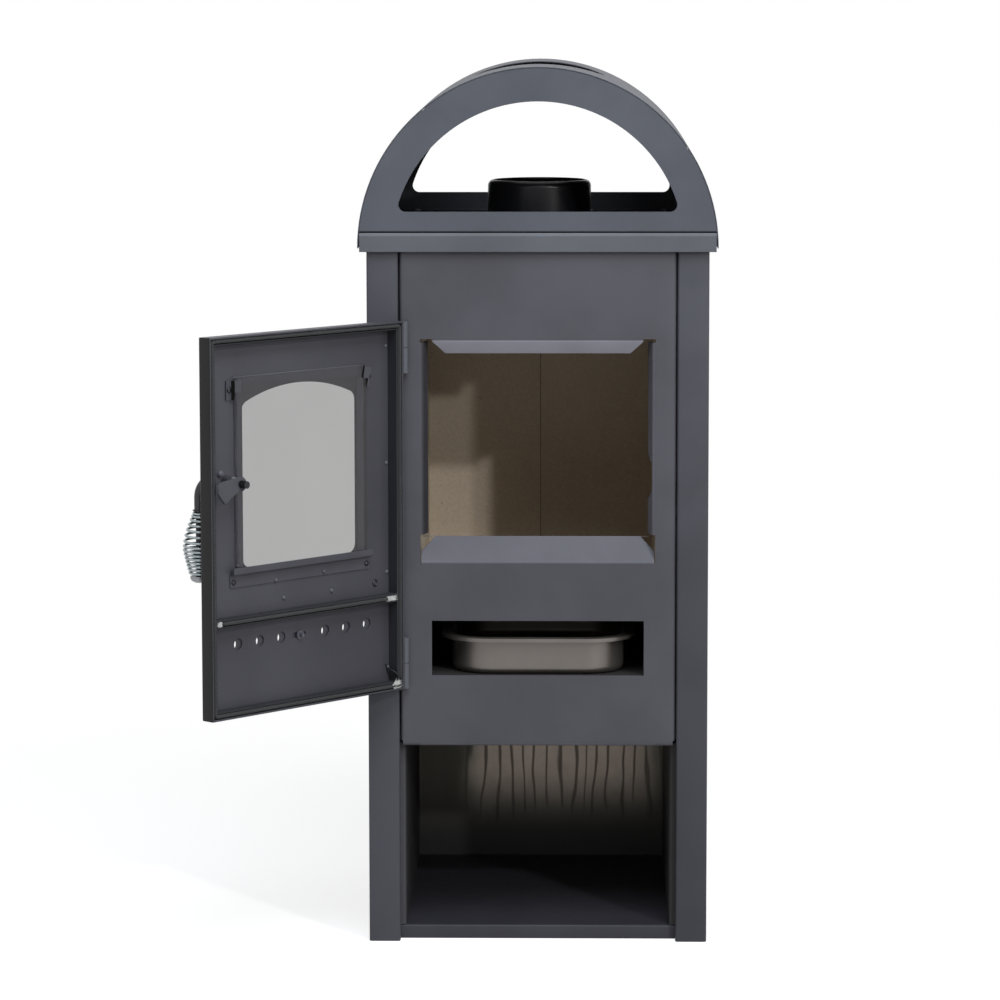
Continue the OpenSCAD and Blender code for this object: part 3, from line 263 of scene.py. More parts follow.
def flap_light_and_shade(paint):
    """The flaps folded in round the doorway are painted lighter or darker in place of light and shade: the upper one
    much paler, as painted light thrown up from the floor, the lower and right ones a little paler, and the left one
    darker.
    """
    across, height = paint.axis("X"), paint.axis("Z")
    from_middle = across.sum("ABSOLUTE")
    flap = paint.axis("Y").rise(*BEHIND_PLATE) * (1 - from_middle.rise(*FLAP_ENDS))
    middle = 1 - from_middle.rise(*FLAP_CORNERS)
    above_sill = height.rise(*SILL_FOLD)
    upper, lower = middle * height.rise(*LINTEL_FOLD), 1 - above_sill
    left = (1 - middle) * (1 - across.rise(*MIDDLE_X)) * above_sill
    right = (1 - middle) * across.rise(*MIDDLE_X) * above_sill
    # painted light and shade on the flaps round the doorway
    return 1 + flap * (upper * 3.8 + lower * 0.5 + right * 0.6 - left * 0.45)


def lip_painted_light(paint):
    """The front lip of the base is painted paler than the floor of the niche, which lies in painted shade, and its
    upper edge paler still, as a painted highlight.
    """
    lip = 1 - paint.axis("Y").rise(*BASE_LIP)
    return 1 + lip * (0.45 + paint.axis("Z").rise(*LIP_EDGE) * 0.6)


def niche_tone(paint):
    """The face of the niche's left side is the colour of the cabinet, and the side itself is in the dark."""
    return 1 - paint.axis("Y").rise(*NICHE_FACE) * 0.55


def post_light_and_shade(paint):
    """The posts are painted a little paler towards the top, as painted light from the lamp above, and the right-hand
    one darker towards the floor, as painted shade.
    """
    height = paint.axis("Z")
    right_low = paint.axis("X").rise(0, 0.01) * (1 - height.rise(0.05, 0.55))
    return 1 + height.rise(0.5, 0.8) * 0.17 - right_low * 0.28


def apron_fold_highlight(paint):
    """The fold along the top of the apron is painted pale, as a painted highlight where it catches the lamp above.
    """
    return 1 + paint.axis("Z").rise(*APRON_FOLD) * (1 - paint.axis("Y").rise(*APRON_FACE)) * 0.55


def arch_shade_and_tone(paint):
    """The arched faces are darkened along the edge that stands on the apron, as painted shade of the step there, and
    the rear one is dark inside.
    """
    depth = paint.axis("Y")
    inside = depth.rise(0, 0.01) * (1 - depth.rise(*ARCH_REAR))
    # painted shade along the foot of the arched faces
    return (1 - (1 - paint.axis("Z").rise(*ARCH_FOOT)) * 0.85) * (1 - inside * 0.5)


print("six tone rules for the cabinet")

# %% [markdown]
# ## The tones of the door
# The door hangs open at an angle, so its paint measures along the sheet and through it, and not along X and Y. The
# free edge is darkened as painted shade, since it faces away from the lamps. The inside is darkened towards the
# hinge as painted shade, where the cabinet keeps the light off; it is paler under the pane and a little darker
# towards its lower end.

# %% Tone of the door skin
DOOR_REACH, SKIN_DEPTH = 0.2984, 0.012
UNDER_PANE_FROM, UNDER_PANE_TO = (0.2418, 0.2413), (0.0495, 0.049)
UNDER_PANE_LOW, UNDER_PANE_HIGH = (0.4455, 0.446), (0.657, 0.6575)
HINGE_SHADE_FROM, HINGE_SHADE_TO = 0.29, 0.12
LOW_END = (0.36, 0.44)
EDGE_BORDER, SKIN_BORDER = 0.0008, 0.0002


def door_shade_and_tone(paint):
    cosine, sine = math.cos(-DOOR_OPEN), math.sin(-DOOR_OPEN)
    along, depth, height = paint.along((cosine, sine, 0)), paint.along((-sine, cosine, 0)), paint.axis("Z")
    edge = HINGE_AT[0] * cosine + HINGE_AT[1] * sine + DOOR_REACH
    skin = HINGE_AT[1] * cosine - HINGE_AT[0] * sine - SKIN_DEPTH
    from_hinge, to_free = ([edge - reach for reach in pair] for pair in (UNDER_PANE_FROM, UNDER_PANE_TO))
    under = (along.rise(*from_hinge) * (1 - along.rise(*to_free))
             * height.rise(*UNDER_PANE_LOW) * (1 - height.rise(*UNDER_PANE_HIGH)))
    low = 1 - height.rise(*LOW_END)
    # painted shade: the inside darkens towards the hinge, where the cabinet keeps the light off
    hinge_shade = 0.8 + along.rise(edge - HINGE_SHADE_FROM, edge - HINGE_SHADE_TO) * 0.2
    inside = hinge_shade * (1 + under * 1.5) * (1 - low * 0.11)
    is_inside = depth.rise(skin - SKIN_BORDER, skin + SKIN_BORDER)
    # painted shade: the free edge is darkened strongly
    return (1 - along.rise(edge - EDGE_BORDER, edge) * 0.93) * (1 + is_inside * (inside - 1))


print("the door's sheet is", DOOR_REACH / MM, "mm from the pin to its free edge")

# %% [markdown]
# ## The painted sheets
# Each sheet takes its own grey of the same paint, and the tone rules above where they apply. Some of these greys are
# painted light and shade: the dark base stands for the shade of the niche floor, the dark rope channel for the shade
# of its recess, and the lighter hinge barrels partly for a highlight. Soot covers the hearth, and the flue collar is
# enamelled: smoother, blacker and glossier than the paint.

# %% Paints
ANTHRACITE = srgb(82, 81, 87)
CANOPY_GREY = srgb(86, 88, 95)
DOOR_GREY = srgb(77, 76, 82)
# the flaps of the front plate carry painted light and shade
plate_paint_and_light = stove_paint("plate_paint_and_light", ANTHRACITE, tone=flap_light_and_shade)
canopy_paint = stove_paint("canopy_paint", CANOPY_GREY)
# the arched faces carry painted shade along their foot
arch_paint_and_shade = stove_paint("arch_paint_and_shade", CANOPY_GREY, tone=arch_shade_and_tone)
# the rope channel is a darker grey, as painted shade of the recess round the rope
channel_paint_and_shade = stove_paint("channel_paint_and_shade", srgb(48, 48, 52))
# the hinge barrels are a lighter grey, partly a painted highlight
hinge_paint_and_highlight = stove_paint("hinge_paint_and_highlight", srgb(93, 94, 100), 0.4, 0.05)
niche_paint = stove_paint("niche_paint", srgb(72, 71, 74), 0.6, tone=niche_tone)
# the dark grey of the base is painted shade for the niche floor; its lip carries painted light
base_paint_and_shade = stove_paint("base_paint_and_shade", srgb(50, 49, 55), tone=lip_painted_light)
# the posts carry painted light near the top and painted shade low on the right
side_paint_and_light = stove_paint("side_paint_and_light", srgb(74, 74, 80), tone=post_light_and_shade)
# the top plate carries a painted highlight along the apron's fold
top_paint_and_highlight = stove_paint("top_paint_and_highlight", srgb(94, 96, 101), tone=apron_fold_highlight)
# soot on the hearth; the same black serves as painted shade on the risers of the glass clips
soot_and_shade_black = stove_paint("soot_and_shade_black", srgb(22, 21, 21), 0.7)
inner_paint = stove_paint("inner_paint", srgb(50, 48, 48), 0.6)
door_paint = stove_paint("door_paint", DOOR_GREY, 0.48)
# the door skin carries painted shade on its free edge and towards the hinge
skin_paint_and_shade = stove_paint("skin_paint_and_shade", DOOR_GREY, 0.48, tone=door_shade_and_tone)
rivet_paint = stove_paint("rivet_paint", srgb(92, 92, 99), 0.36, 0.05, 0.3)
collar_enamel = stove_paint("collar_enamel", srgb(24, 24, 27), 0.3, 0.05, 0.6)
black_knob = stove_paint("black_knob", srgb(26, 26, 28), 0.35, 0.05)
print("paints:", plate_paint_and_light.name, canopy_paint.name, inner_paint.name, door_paint.name, collar_enamel.name)

# %% [markdown]
# ## The lining
# The firebox is lined with boards of pressed, heat-proof mineral: a pale straw colour, full of flat flakes that
# catch the light, and a little chalky. Cells give the flakes, and a cloud gives the uneven baking.

# %% Lining board
FLAKE_SCALE, BAKE_SCALE, PIT_SCALE = 420.0, 14, 260
STRAW, PIT_BROWN = srgb(204, 190, 171), srgb(120, 104, 80)
BOARD_RELIEF = 0.0004

board = Finish("fire_board", Roughness=0.92, Specular_IOR_Level=0.2)
flakes = board.node("ShaderNodeTexVoronoi", {}, {"Vector": board.place, "Scale": FLAKE_SCALE}, "Color")
flake_tone = board.node("ShaderNodeRGBToBW", {}, {0: flakes})
baked = board.noise(BAKE_SCALE, 4, 0.6)
pits = board.noise(PIT_SCALE, 2, 0.5)
straw = board.mix(flake_tone * 0.5 + baked * 0.5, shade(STRAW, 0.86), shade(STRAW, 1.12))
board.wear(Base_Color=board.mix(pits.rise(0.66, 0.8) * 0.4, straw, PIT_BROWN))
fire_board = board.bump(flake_tone * 0.5 + pits * 0.5, BOARD_RELIEF, 0.35).material
print("lining:", fire_board.name)

# %% [markdown]
# ## Bare metals
# The ash pan is thin stainless sheet, brushed along its length. Brushing is a noise stretched until it turns to
# lines, which moves the roughness and the relief by a hair. The screws at the back, the hinge pins and the bush
# are plain zinc, the lever and the small screws of the door are darker steel, the grip is bright wire, and the cast
# grate is dark and rough. They differ only in their numbers, so one recipe serves.

# %% Metal
TARNISH_SCALE, TARNISH = 25, 0.72
EVEN, BRUSHED = (1, 1, 1), (1, 1, 30)


def metal(name, colour, rough, stretch, scale, relief, spread=0.12, metallic=1.0):
    steel = Finish(name, Metallic=metallic)
    lines = steel.noise(scale, 3, 0.65, steel.moved(stretch))
    cloud = steel.noise(TARNISH_SCALE, 3, 0.6)
    steel.wear(Base_Color=steel.mix(cloud * 0.6 + lines * 0.4, shade(colour, TARNISH), colour),
               Roughness=rough + (lines - 0.5) * spread + (cloud - 0.5) * spread)
    return steel.bump(lines, relief, 0.4).material


stainless = metal("stainless", srgb(122, 116, 111), 0.4, BRUSHED, 60.0, 0.00005, metallic=0.72)
zinc = metal("zinc", srgb(150, 152, 156), 0.38, EVEN, 400.0, 0.00008)
dark_steel = metal("dark_steel", srgb(70, 70, 74), 0.42, EVEN, 300.0, 0.0001)
spring_wire = metal("spring_wire", srgb(168, 177, 180), 0.3, EVEN, 500.0, 0.00004, metallic=0.85)
cast_iron = metal("cast_iron", srgb(44, 42, 40), 0.7, EVEN, 700.0, 0.0004, 0.2, 0.6)
print("metals:", stainless.name, zinc.name, dark_steel.name, spring_wire.name, cast_iron.name)

# %% [markdown]
# ## Glass and rope
# The window is a pane of glass ceramic, clear with a faint grey cast and a thin haze of ash. So thin a pane hardly
# moves what is seen through it, so its shader transmits with a low index, and the shine comes from a coat. The
# ropes are glass fibre: dark where the graphite is still on, white where the ends have frayed.

# %% Glass and fibre
HAZE_SCALE, HAZE_ROUGH = 7, 0.06
pane = Finish("pane", Transmission_Weight=1.0, IOR=1.1, Coat_Weight=0.6)
haze = pane.noise(HAZE_SCALE, 4, 0.6)
pane.wear(Base_Color=pane.mix(haze, srgb(166, 166, 166), srgb(174, 174, 173)),
          Roughness=haze.rise(0.4, 0.9) * HAZE_ROUGH)
window_glass = pane.material
LAY = (0.6, 0.5, 0.3)
THREAD_RELIEF = 0.0003


def fibre(name, colour, weave=900.0, depth=0.55):
    """depth is the share of the colour that is left between the threads."""
    yarn = Finish(name, Roughness=0.9, Specular_IOR_Level=0.25, Sheen_Weight=0.2)
    threads = yarn.noise(weave, 3, 0.7, yarn.moved(EVEN, LAY))
    cloud = yarn.noise(60, 3, 0.6)
    yarn.wear(Base_Color=yarn.mix(threads * 0.7 + cloud * 0.3, shade(colour, depth), colour))
    return yarn.bump(threads, THREAD_RELIEF, 0.6).material


rope_fibre = fibre("rope_fibre", srgb(66, 66, 66))
tape_fibre = fibre("tape_fibre", srgb(129, 127, 142), 500.0, 0.85)
frayed_fibre = fibre("frayed_fibre", srgb(236, 235, 231), 300.0)
print("glass and fibre:", window_glass.name, rope_fibre.name, tape_fibre.name, frayed_fibre.name)

# %% [markdown]
# ## The niche wall
# The wood niche is closed at the back by the rear panel. Its paint is thin there: a bare brownish bloom with thin
# dark tracks, where paint or water ran down from the seam above. The tracks are the teeth of a saw along x, moved
# sideways by a noise that is stretched upright, so they wander as drops do. Only the inner face shows them.

# %% Rear panel with its runs
NICHE_TOP, WALL_IN = 0.224, 0.1976
RUN_PITCH, RUN_SWAY, BLOOM_SWAY = 0.0155, 0.032, 0.06
BARE, BARE_PALE, RUN_BROWN = srgb(104, 95, 88), srgb(124, 114, 105), srgb(56, 47, 40)
SHADE_LOW, SHADE_HIGH = srgb(62, 62, 62), srgb(128, 124, 112)

back = Finish("niche_wall", Specular_IOR_Level=0.25)
across, depth, height = back.axis("X"), back.axis("Y"), back.axis("Z")
inside = (1 - depth.rise(WALL_IN + 0.0003, WALL_IN + 0.0006)) * (1 - height.rise(NICHE_TOP - 0.001, NICHE_TOP))
wander = (back.noise(22, 3, 0.6) - 0.5) * BLOOM_SWAY
bloom = ((across + wander * 0.4).rise(-0.105, -0.07) * (1 - (across + wander).rise(0.11, 0.17))
         * (height + wander * 0.3).rise(0.04, 0.13))
sway = (back.noise(1, 2, 0.45, back.moved((28, 1, 7))) - 0.5) * RUN_SWAY
column = ((across + sway) / RUN_PITCH).sum("FRACT") - 0.5
ends = (height + (back.noise(1, 1, 0.5, back.moved((90, 1, 2))) - 0.5) * 0.09).rise(0.06, 0.075)
run = (1 - column.sum("ABSOLUTE").rise(0.03, 0.15)) * ends
bare = back.mix(back.noise(60, 4, 0.65), BARE, BARE_PALE)
# painted light and shade: outside the bloom the wall runs from a pale top down to a dark foot, and the bloom fades
# out into it downwards
dim = back.mix(height.rise(0.03, 0.13), SHADE_LOW, SHADE_HIGH)
wall = back.mix(bloom, dim, back.mix(run * 0.6, bare, RUN_BROWN))
back.wear(Base_Color=back.mix(inside, ANTHRACITE, wall), Metallic=inside * bloom * 0.9,
          Roughness=0.48 - inside * bloom * 0.16 + run * inside * 0.15)
back.bump(back.noise(SAND_SCALE, 2, 0.6), 0.0001, 0.5)
niche_wall = back.material
print("runs every", round(RUN_PITCH / MM, 1), "mm on the rear panel")

# %% [markdown]
# ## Finishes on the CAD pieces
# Most rigid pieces already have the right form, so they only take a finish. A table of finishes against names
# keeps that in one place, and it prints any node that it forgot.

# %% Assign the finishes
FINISHES = [
    (side_paint_and_light, "side_panel_left side_panel_right"),
    (canopy_paint, "canopy_roof"),
    (arch_paint_and_shade, "canopy_front canopy_rear"),
    (channel_paint_and_shade, "rope_channel"),
    (hinge_paint_and_highlight, "hinge_barrels_cabinet hinge_barrels_door"),
    (niche_paint, "niche_side_left"),
    (plate_paint_and_light, "front_plate"),
    (top_paint_and_highlight, "top_plate"),
    (base_paint_and_shade, "base_plate base_rib"),
    (soot_and_shade_black, "hearth_plate"),
    (skin_paint_and_shade, "door_skin"),
    (inner_paint, "niche_side_right niche_ceiling firebox_shell firebox_brackets"),
    (door_paint, "glass_ledge glass_clips latch_cam slide_guides air_slide"),
    (fire_board, "lining_left lining_right lining_back_left lining_back_right floor_bricks baffle_plate"),
    (niche_wall, "rear_panel"),
    (collar_enamel, "flue_collar"),
    (stainless, "ash_pan"),
    (zinc, "rear_screws collar_bolts hinge_pins latch_bush guide_rivets grip_cap"),
    (rivet_paint, "canopy_screws door_rivets bush_rivet slide_screw"),
    (dark_steel, "clip_screws ledge_screws lever_rod hinge_washers grip_washer"),
    (cast_iron, "grate"),
    (black_knob, "slide_knob"),
    (window_glass, "glass_pane"),
    (rope_fibre, "rope_seal divider_rope glass_seal"),
    (spring_wire, "grip_spring"),
]
for finish, names in FINISHES:
    for name in names.split():
        mesh = nodes[name].data
        mesh.materials.clear()
        mesh.materials.append(finish)
left_over = sorted(set(nodes) - {name for _, names in FINISHES for name in names.split()})
print("nodes without a finish:", left_over)

# %% [markdown]
# ## Making a piece
# Every new piece goes through the same last steps: its mesh takes a finish and smooth shading, rides on the body
# that it moves with, and hides the CAD nodes that it stands for. Three short helpers take up what most pieces need
# before that: the points among new geometry, faces that look outwards, and a plane cut.

# %% The last steps of a piece
def verts_of(geom):
    return [g for g in geom if isinstance(g, bmesh.types.BMVert)]


def outward(bm):
    bmesh.ops.recalc_face_normals(bm, faces=bm.faces)


def cut_at(bm, axis, distance):
    everything = bm.verts[:] + bm.edges[:] + bm.faces[:]
    bmesh.ops.bisect_plane(bm, geom=everything, plane_co=axis * distance, plane_no=axis)


def make_piece(name, bm, finish, body, stands_for=(), turned=NO_TURN, smooth=35):
    bmesh.ops.transform(bm, matrix=turned, verts=bm.verts)
    mesh = bpy.data.meshes.new(name)
    bm.to_mesh(mesh)
    bm.free()
    mesh.materials.append(finish)
    mesh.shade_smooth()
    mesh.set_sharp_from_angle(angle=math.radians(smooth))
    piece = bpy.data.objects.new(name, mesh)
    bpy.context.collection.objects.link(piece)
    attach(piece, body)
    if stands_for:
        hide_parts(*stands_for)
    print(name, "has", len(mesh.polygons), "faces and rides on", body)
    return piece


print("helpers for pieces ready")

# %% [markdown]
# ## Folded edges
# Sheet metal never has a knife edge: the shear and the paint leave each edge a little round, and that is what
# catches the light. The CAD sheets are exact but sharp, so a copy of each large sheet is merged into one skin
# and gets a bevel a few tenths of a millimetre wide. It keeps the sheet's size and place. Smooth shading would
# spread the tilt of a narrow bevel over the long triangles of the flat face beside it, as faint rays from every
# corner and hole, so the borders between narrow and broad faces are marked sharp.

# %% Soften the edges of the sheets
FLAT, GENTLE, SHARP = 1, 15, 30
NARROW = 0.85


def softened(node, width):
    """FLAT, GENTLE and SHARP are angles in degrees; a face is narrow below NARROW of the bevel's width."""
    source = nodes[node]
    bm = bmesh.new()
    bm.from_mesh(source.data)
    bmesh.ops.remove_doubles(bm, verts=bm.verts, dist=0.000005)
    sharp = [e for e in bm.edges if len(e.link_faces) == 2 and e.calc_face_angle(0) > math.radians(SHARP)]
    bmesh.ops.bevel(bm, geom=sharp, offset=width, offset_type="OFFSET", affect="EDGES", segments=2, profile=0.5,
                    material=-1, clamp_overlap=True)
    bm.edges.index_update()
    narrow = {f for f in bm.faces if f.calc_area() < NARROW * width * max(e.calc_length() for e in f.edges)}
    borders = []
    for edge in bm.edges:
        angle = math.degrees(edge.calc_face_angle(0))
        beside_broad = len(narrow & set(edge.link_faces)) == 1
        if angle > FLAT and beside_broad or GENTLE < angle < SHARP:
            borders.append(edge.index)
    piece = make_piece(node + "_sheet", bm, source.data.materials[0], source["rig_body"], (node,), smooth=50)
    for index in borders:
        piece.data.edges[index].use_edge_sharp = True


SHEETS = {"side_panel_left": 0.5, "side_panel_right": 0.5, "front_plate": 0.5, "top_plate": 0.5,
          "canopy_front": 0.45, "canopy_rear": 0.45, "canopy_roof": 0.4, "base_plate": 0.5, "door_skin": 0.5,
          "rope_channel": 0.4, "latch_cam": 0.5, "glass_ledge": 0.3, "slide_guides": 0.3, "air_slide": 0.3}
for node, width in SHEETS.items():
    softened(node, width * MM)

# %% [markdown]
# ## Braided rope
# The door shuts on a rope of braided glass fibre that lies in a channel all round, and a second length divides
# the fire from the ash door. A braid is two sets of strands that wind round the core both ways and pass over
# and under each other. Modelling each strand would cost a lot for something half hidden, so the rope is one
# skin, drawn from a flat grid that is rolled round the route, and its surface is raised where a strand runs.

# %% A braid along a route
CARRIERS = 6
AROUND = 24
STATION = 0.9 * MM
PLAIT = 5 * MM
STRAND_BACK, PASSED_UNDER, STRAND_DEPTH = 0.7, 0.62, 0.16
SQUARENESS = 0.8


def strand_height(u, v):
    """How far the braid stands up at u round the rope and v along it, from 0 to 1."""
    one, two = u + v, u - v
    over = math.sin(math.pi * (one % 1)) ** STRAND_BACK
    under = math.sin(math.pi * (two % 1)) ** STRAND_BACK
    if (math.floor(one) + math.floor(two)) % 2:
        over, under = under, over
    return max(over, PASSED_UNDER * under)


def braid(name, place_at, length, half, closed, slot):
    """place_at(s) gives a point of the route, its side direction and its way out of the channel."""
    steps = round(length / STATION)
    plait = length / round(length / PLAIT)
    bm = bmesh.new()
    bmesh.ops.create_grid(bm, x_segments=AROUND, y_segments=steps, size=0.5)
    for vert in bm.verts:
        around, along = vert.co.x + 0.5, vert.co.y + 0.5
        angle, run = 2 * math.pi * around, along * length
        lift = 1 - STRAND_DEPTH * (1 - strand_height(around * CARRIERS, run / plait))
        if not closed:
            lift *= min(1, math.sqrt(max(0.0, min(run, length - run)) / half[0]) + 0.02)
        middle, side, out = place_at(run)
        across, deep = math.copysign(abs(math.cos(angle)) ** SQUARENESS, math.cos(angle)), math.sin(angle)
        vert.co = middle + side * (across * half[0] * lift) + out * (deep * half[1] * lift)
    bmesh.ops.remove_doubles(bm, verts=bm.verts, dist=0.00002)
    outward(bm)
    return make_piece(name, bm, rope_fibre, "door", (slot,), DOOR, 180)


DOOR_X, DOOR_Z = (-0.143, 0.150), (0.291, 0.703)
ROPE_IN = 4.8 * MM
ROPE_HALF = (2.4 * MM, 8.1 * MM)
ROPE_Y = -0.2085
CORNER = 2.7 * MM
OUT = Vector((0, 1, 0))


def ring_route():
    """The rounded rectangle of the seal: straight sides and quarter turns, each with its length."""
    x0, x1 = DOOR_X[0] + ROPE_IN, DOOR_X[1] - ROPE_IN
    z0, z1 = DOOR_Z[0] + ROPE_IN, DOOR_Z[1] - ROPE_IN
    corners = [(x1 - CORNER, z0 + CORNER), (x1 - CORNER, z1 - CORNER),
               (x0 + CORNER, z1 - CORNER), (x0 + CORNER, z0 + CORNER)]
    sides = [x1 - x0 - 2 * CORNER, z1 - z0 - 2 * CORNER] * 2
    turn = math.pi / 2 * CORNER
    total = sum(sides) + 4 * turn

    def at(s):
        s %= total
        for k in range(4):
            heading = math.pi / 2 * k
            ahead = Vector((math.cos(heading), 0, math.sin(heading)))
            side = Vector((math.sin(heading), 0, -math.cos(heading)))
            end = Vector((corners[k][0], ROPE_Y, corners[k][1])) + side * CORNER
            if s < sides[k]:
                return end - ahead * (sides[k] - s), side, OUT
            s -= sides[k]
            if s < turn:
                angle = s / CORNER
                bent = side * math.cos(angle) + ahead * math.sin(angle)
                return end - side * CORNER + bent * CORNER, bent, OUT
            s -= turn
        return end, side, OUT
    return at, total


at_ring, ring_length = ring_route()
braid("seal_braid", at_ring, ring_length, ROPE_HALF, True, "rope_seal")
DIVIDER_Z = 0.395
DIVIDER_X = (-0.1200, 0.1345)
DOWN = Vector((0, 0, -1))
braid("divider_braid", lambda s: (Vector((DIVIDER_X[0] + s, ROPE_Y, DIVIDER_Z)), DOWN, OUT),
      DIVIDER_X[1] - DIVIDER_X[0], ROPE_HALF, False, "divider_rope")
print("seal rope", round(ring_length, 3), "m, divider rope", round(DIVIDER_X[1] - DIVIDER_X[0], 4), "m")

# %% [markdown]
# ## The tape under the glass
# The glass lies on a flat woven tape, so that it never touches the steel. It shows as a dark, slightly wavy
# border through the edge of the pane. A frame is drawn flat, cut fine, given a ripple and its thickness.

# %% Woven tape
DOOR_MID = 0.0035
TAPE_OUT, TAPE_IN = (0.097, 0.4465, 0.6565), (0.087, 0.449, 0.646)
TAPE_Y = (-0.2168, -0.2152)
TAPE_CELLS = 48
WAVE, WAVES = 0.12 * MM, 900
LEVEL, UPRIGHT = Vector((1, 0, 0)), Vector((0, 0, 1))
bm = bmesh.new()
bmesh.ops.create_grid(bm, x_segments=TAPE_CELLS, y_segments=TAPE_CELLS, size=0.5)
for vert in bm.verts:
    x, z = vert.co.x * 2, vert.co.y + 0.5
    vert.co = Vector((DOOR_MID + x * TAPE_OUT[0], TAPE_Y[0], TAPE_OUT[1] + z * (TAPE_OUT[2] - TAPE_OUT[1])))
for axis, cuts in ((LEVEL, (DOOR_MID - TAPE_IN[0], DOOR_MID + TAPE_IN[0])), (UPRIGHT, TAPE_IN[1:])):
    for cut in cuts:
        cut_at(bm, axis, cut)
hole = [f for f in bm.faces if abs(f.calc_center_median().x - DOOR_MID) < TAPE_IN[0]
        and TAPE_IN[1] < f.calc_center_median().z < TAPE_IN[2]]
bmesh.ops.delete(bm, geom=hole, context="FACES")
raised = bmesh.ops.extrude_face_region(bm, geom=bm.faces[:])["geom"]
for vert in verts_of(raised):
    ripple = WAVE * math.sin(vert.co.x * WAVES) * math.sin(vert.co.z * WAVES)
    vert.co.y = TAPE_Y[1] - WAVE + ripple
outward(bm)
make_piece("glass_tape", bm, tape_fibre, "door", ("glass_seal",), DOOR)

# %% [markdown]
# ## The coiled grip
# The grip stays cool because it is hardly there: one springy wire wound into a drop round the lever. It has as
# many turns as the CAD wire and fills the same drop, but its turns are as uneven as wound ones are, close at the
# ends and wide above the belly, and its section is round, so the coils shine smoothly.

# %% Wire grip
ROD_X, GRIP_Y = 0.113, -0.259
WIRE = 2.8 * MM
COIL_TOP, COIL_L = 0.5108, 70.8 * MM
TOP_R, WIDE_R, LOW_R, BELLY = 5.8 * MM, 17.1 * MM, 10.4 * MM, 0.6
PER_TURN, WIRE_ROUNDING = 28, 2
PITCHES = (3.0, 3.1, 5.3, 5.3, 6.1, 6.4, 6.0, 4.4, 4.4, 4.3, 4.1, 4.0, 4.0, 4.3, 3.5)
FIRST_TURN = math.radians(200)


def drop_radius(t):
    if t < BELLY:
        return TOP_R + (WIDE_R - TOP_R) * math.sin(math.pi / 2 * t / BELLY)
    return WIDE_R - (WIDE_R - LOW_R) * ((t - BELLY) / (1 - BELLY)) ** 1.1


def wire_point(radius, angle, drop):
    return Vector((ROD_X + radius * math.cos(angle), GRIP_Y + radius * math.sin(angle), COIL_TOP - drop))


wire, fallen = [], 0
for pitch in PITCHES:
    for i in range(PER_TURN):
        t = (fallen + pitch * i / PER_TURN) / sum(PITCHES)
        angle, drop = FIRST_TURN + 2 * math.pi * i / PER_TURN, WIRE * 0.55 + (COIL_L - WIRE * 1.1) * t
        wire.append(wire_point(drop_radius(t), angle, drop))
    fallen += pitch
wire.append(wire_point(LOW_R, FIRST_TURN, COIL_L - WIRE * 0.55))
wire_length = sum((b - a).length for a, b in zip(wire, wire[1:]))
print("the grip has", len(PITCHES), "turns and", round(wire_length, 2), "m of wire")

# %% [markdown]
# A curve through the points gives the wire its round section and its closed ends. It is only a helper: its mesh is
# taken over and the curve is removed.

# %% The wire as a mesh
curve = bpy.data.curves.new("grip_coil", "CURVE")
curve.dimensions = "3D"
curve.bevel_depth, curve.bevel_resolution, curve.use_fill_caps = WIRE / 2, WIRE_ROUNDING, True
spline = curve.splines.new("POLY")
spline.points.add(len(wire) - 1)
for point, place in zip(spline.points, wire):
    point.co = (*place, 1)
helper = bpy.data.objects.new("grip_route", curve)
bpy.context.collection.objects.link(helper)
bm = bmesh.new()
bm.from_mesh(bpy.data.meshes.new_from_object(helper.evaluated_get(bpy.context.evaluated_depsgraph_get())))
bpy.data.objects.remove(helper)
bmesh.ops.remove_doubles(bm, verts=bm.verts, dist=0.000002)
make_piece("grip_coil", bm, spring_wire, "latch", ("grip_spring",), DOOR, 60)

# %% [markdown]
# ## Screws and rivets
# A screw head is a low dome with a cross or a slot pressed into it. The dome is a profile spun round its axis.
# The recess is made by cutting the top with planes and pushing the faces between them down, which is what the
# punch does. Rivets are the same dome without a recess.

# %% Heads
HEAD_STEPS = 20
DOME = ((0, 1), (0.3, 0.97), (0.6, 0.82), (0.85, 0.55), (1, 0.25), (1, 0))
SLOT_HALF, CROSS_REACH, SLOT_REACH = 0.13, 0.55, 0.95
RECESS_DEPTH = 0.5


def spun(bm, profile, steps):
    """A profile of (radius, height) pairs, spun round Z into a skin."""
    verts = [bm.verts.new((r, 0, z)) for r, z in profile]
    edges = [bm.edges.new(pair) for pair in zip(verts, verts[1:])]
    bmesh.ops.spin(bm, geom=verts + edges, cent=(0, 0, 0), axis=(0, 0, 1), angle=2 * math.pi, steps=steps,
                   use_merge=True)
    bmesh.ops.remove_doubles(bm, verts=bm.verts, dist=0.000002)
    outward(bm)


def press(head, radius, height, recess):
    """Cuts the top of a head along its cross or slot and pushes the faces between the cuts down."""
    half, reach = radius * SLOT_HALF, radius * (CROSS_REACH if recess == "cross" else SLOT_REACH)
    for axis in (Vector((1, 0, 0)), Vector((0, 1, 0))):
        for cut in (-reach, -half, half, reach):
            cut_at(head, axis, cut)
    pressed = []
    for face in head.faces:
        x, y, z = face.calc_center_median()
        along_x = abs(x) < reach and abs(y) < half
        along_y = abs(y) < reach and abs(x) < half and recess == "cross"
        if z > height * 0.3 and (along_x or along_y):
            pressed.append(face)
    moved = bmesh.ops.extrude_face_region(head, geom=pressed)["geom"]
    bmesh.ops.translate(head, vec=(0, 0, -height * RECESS_DEPTH), verts=verts_of(moved))
    bmesh.ops.delete(head, geom=pressed, context="FACES")


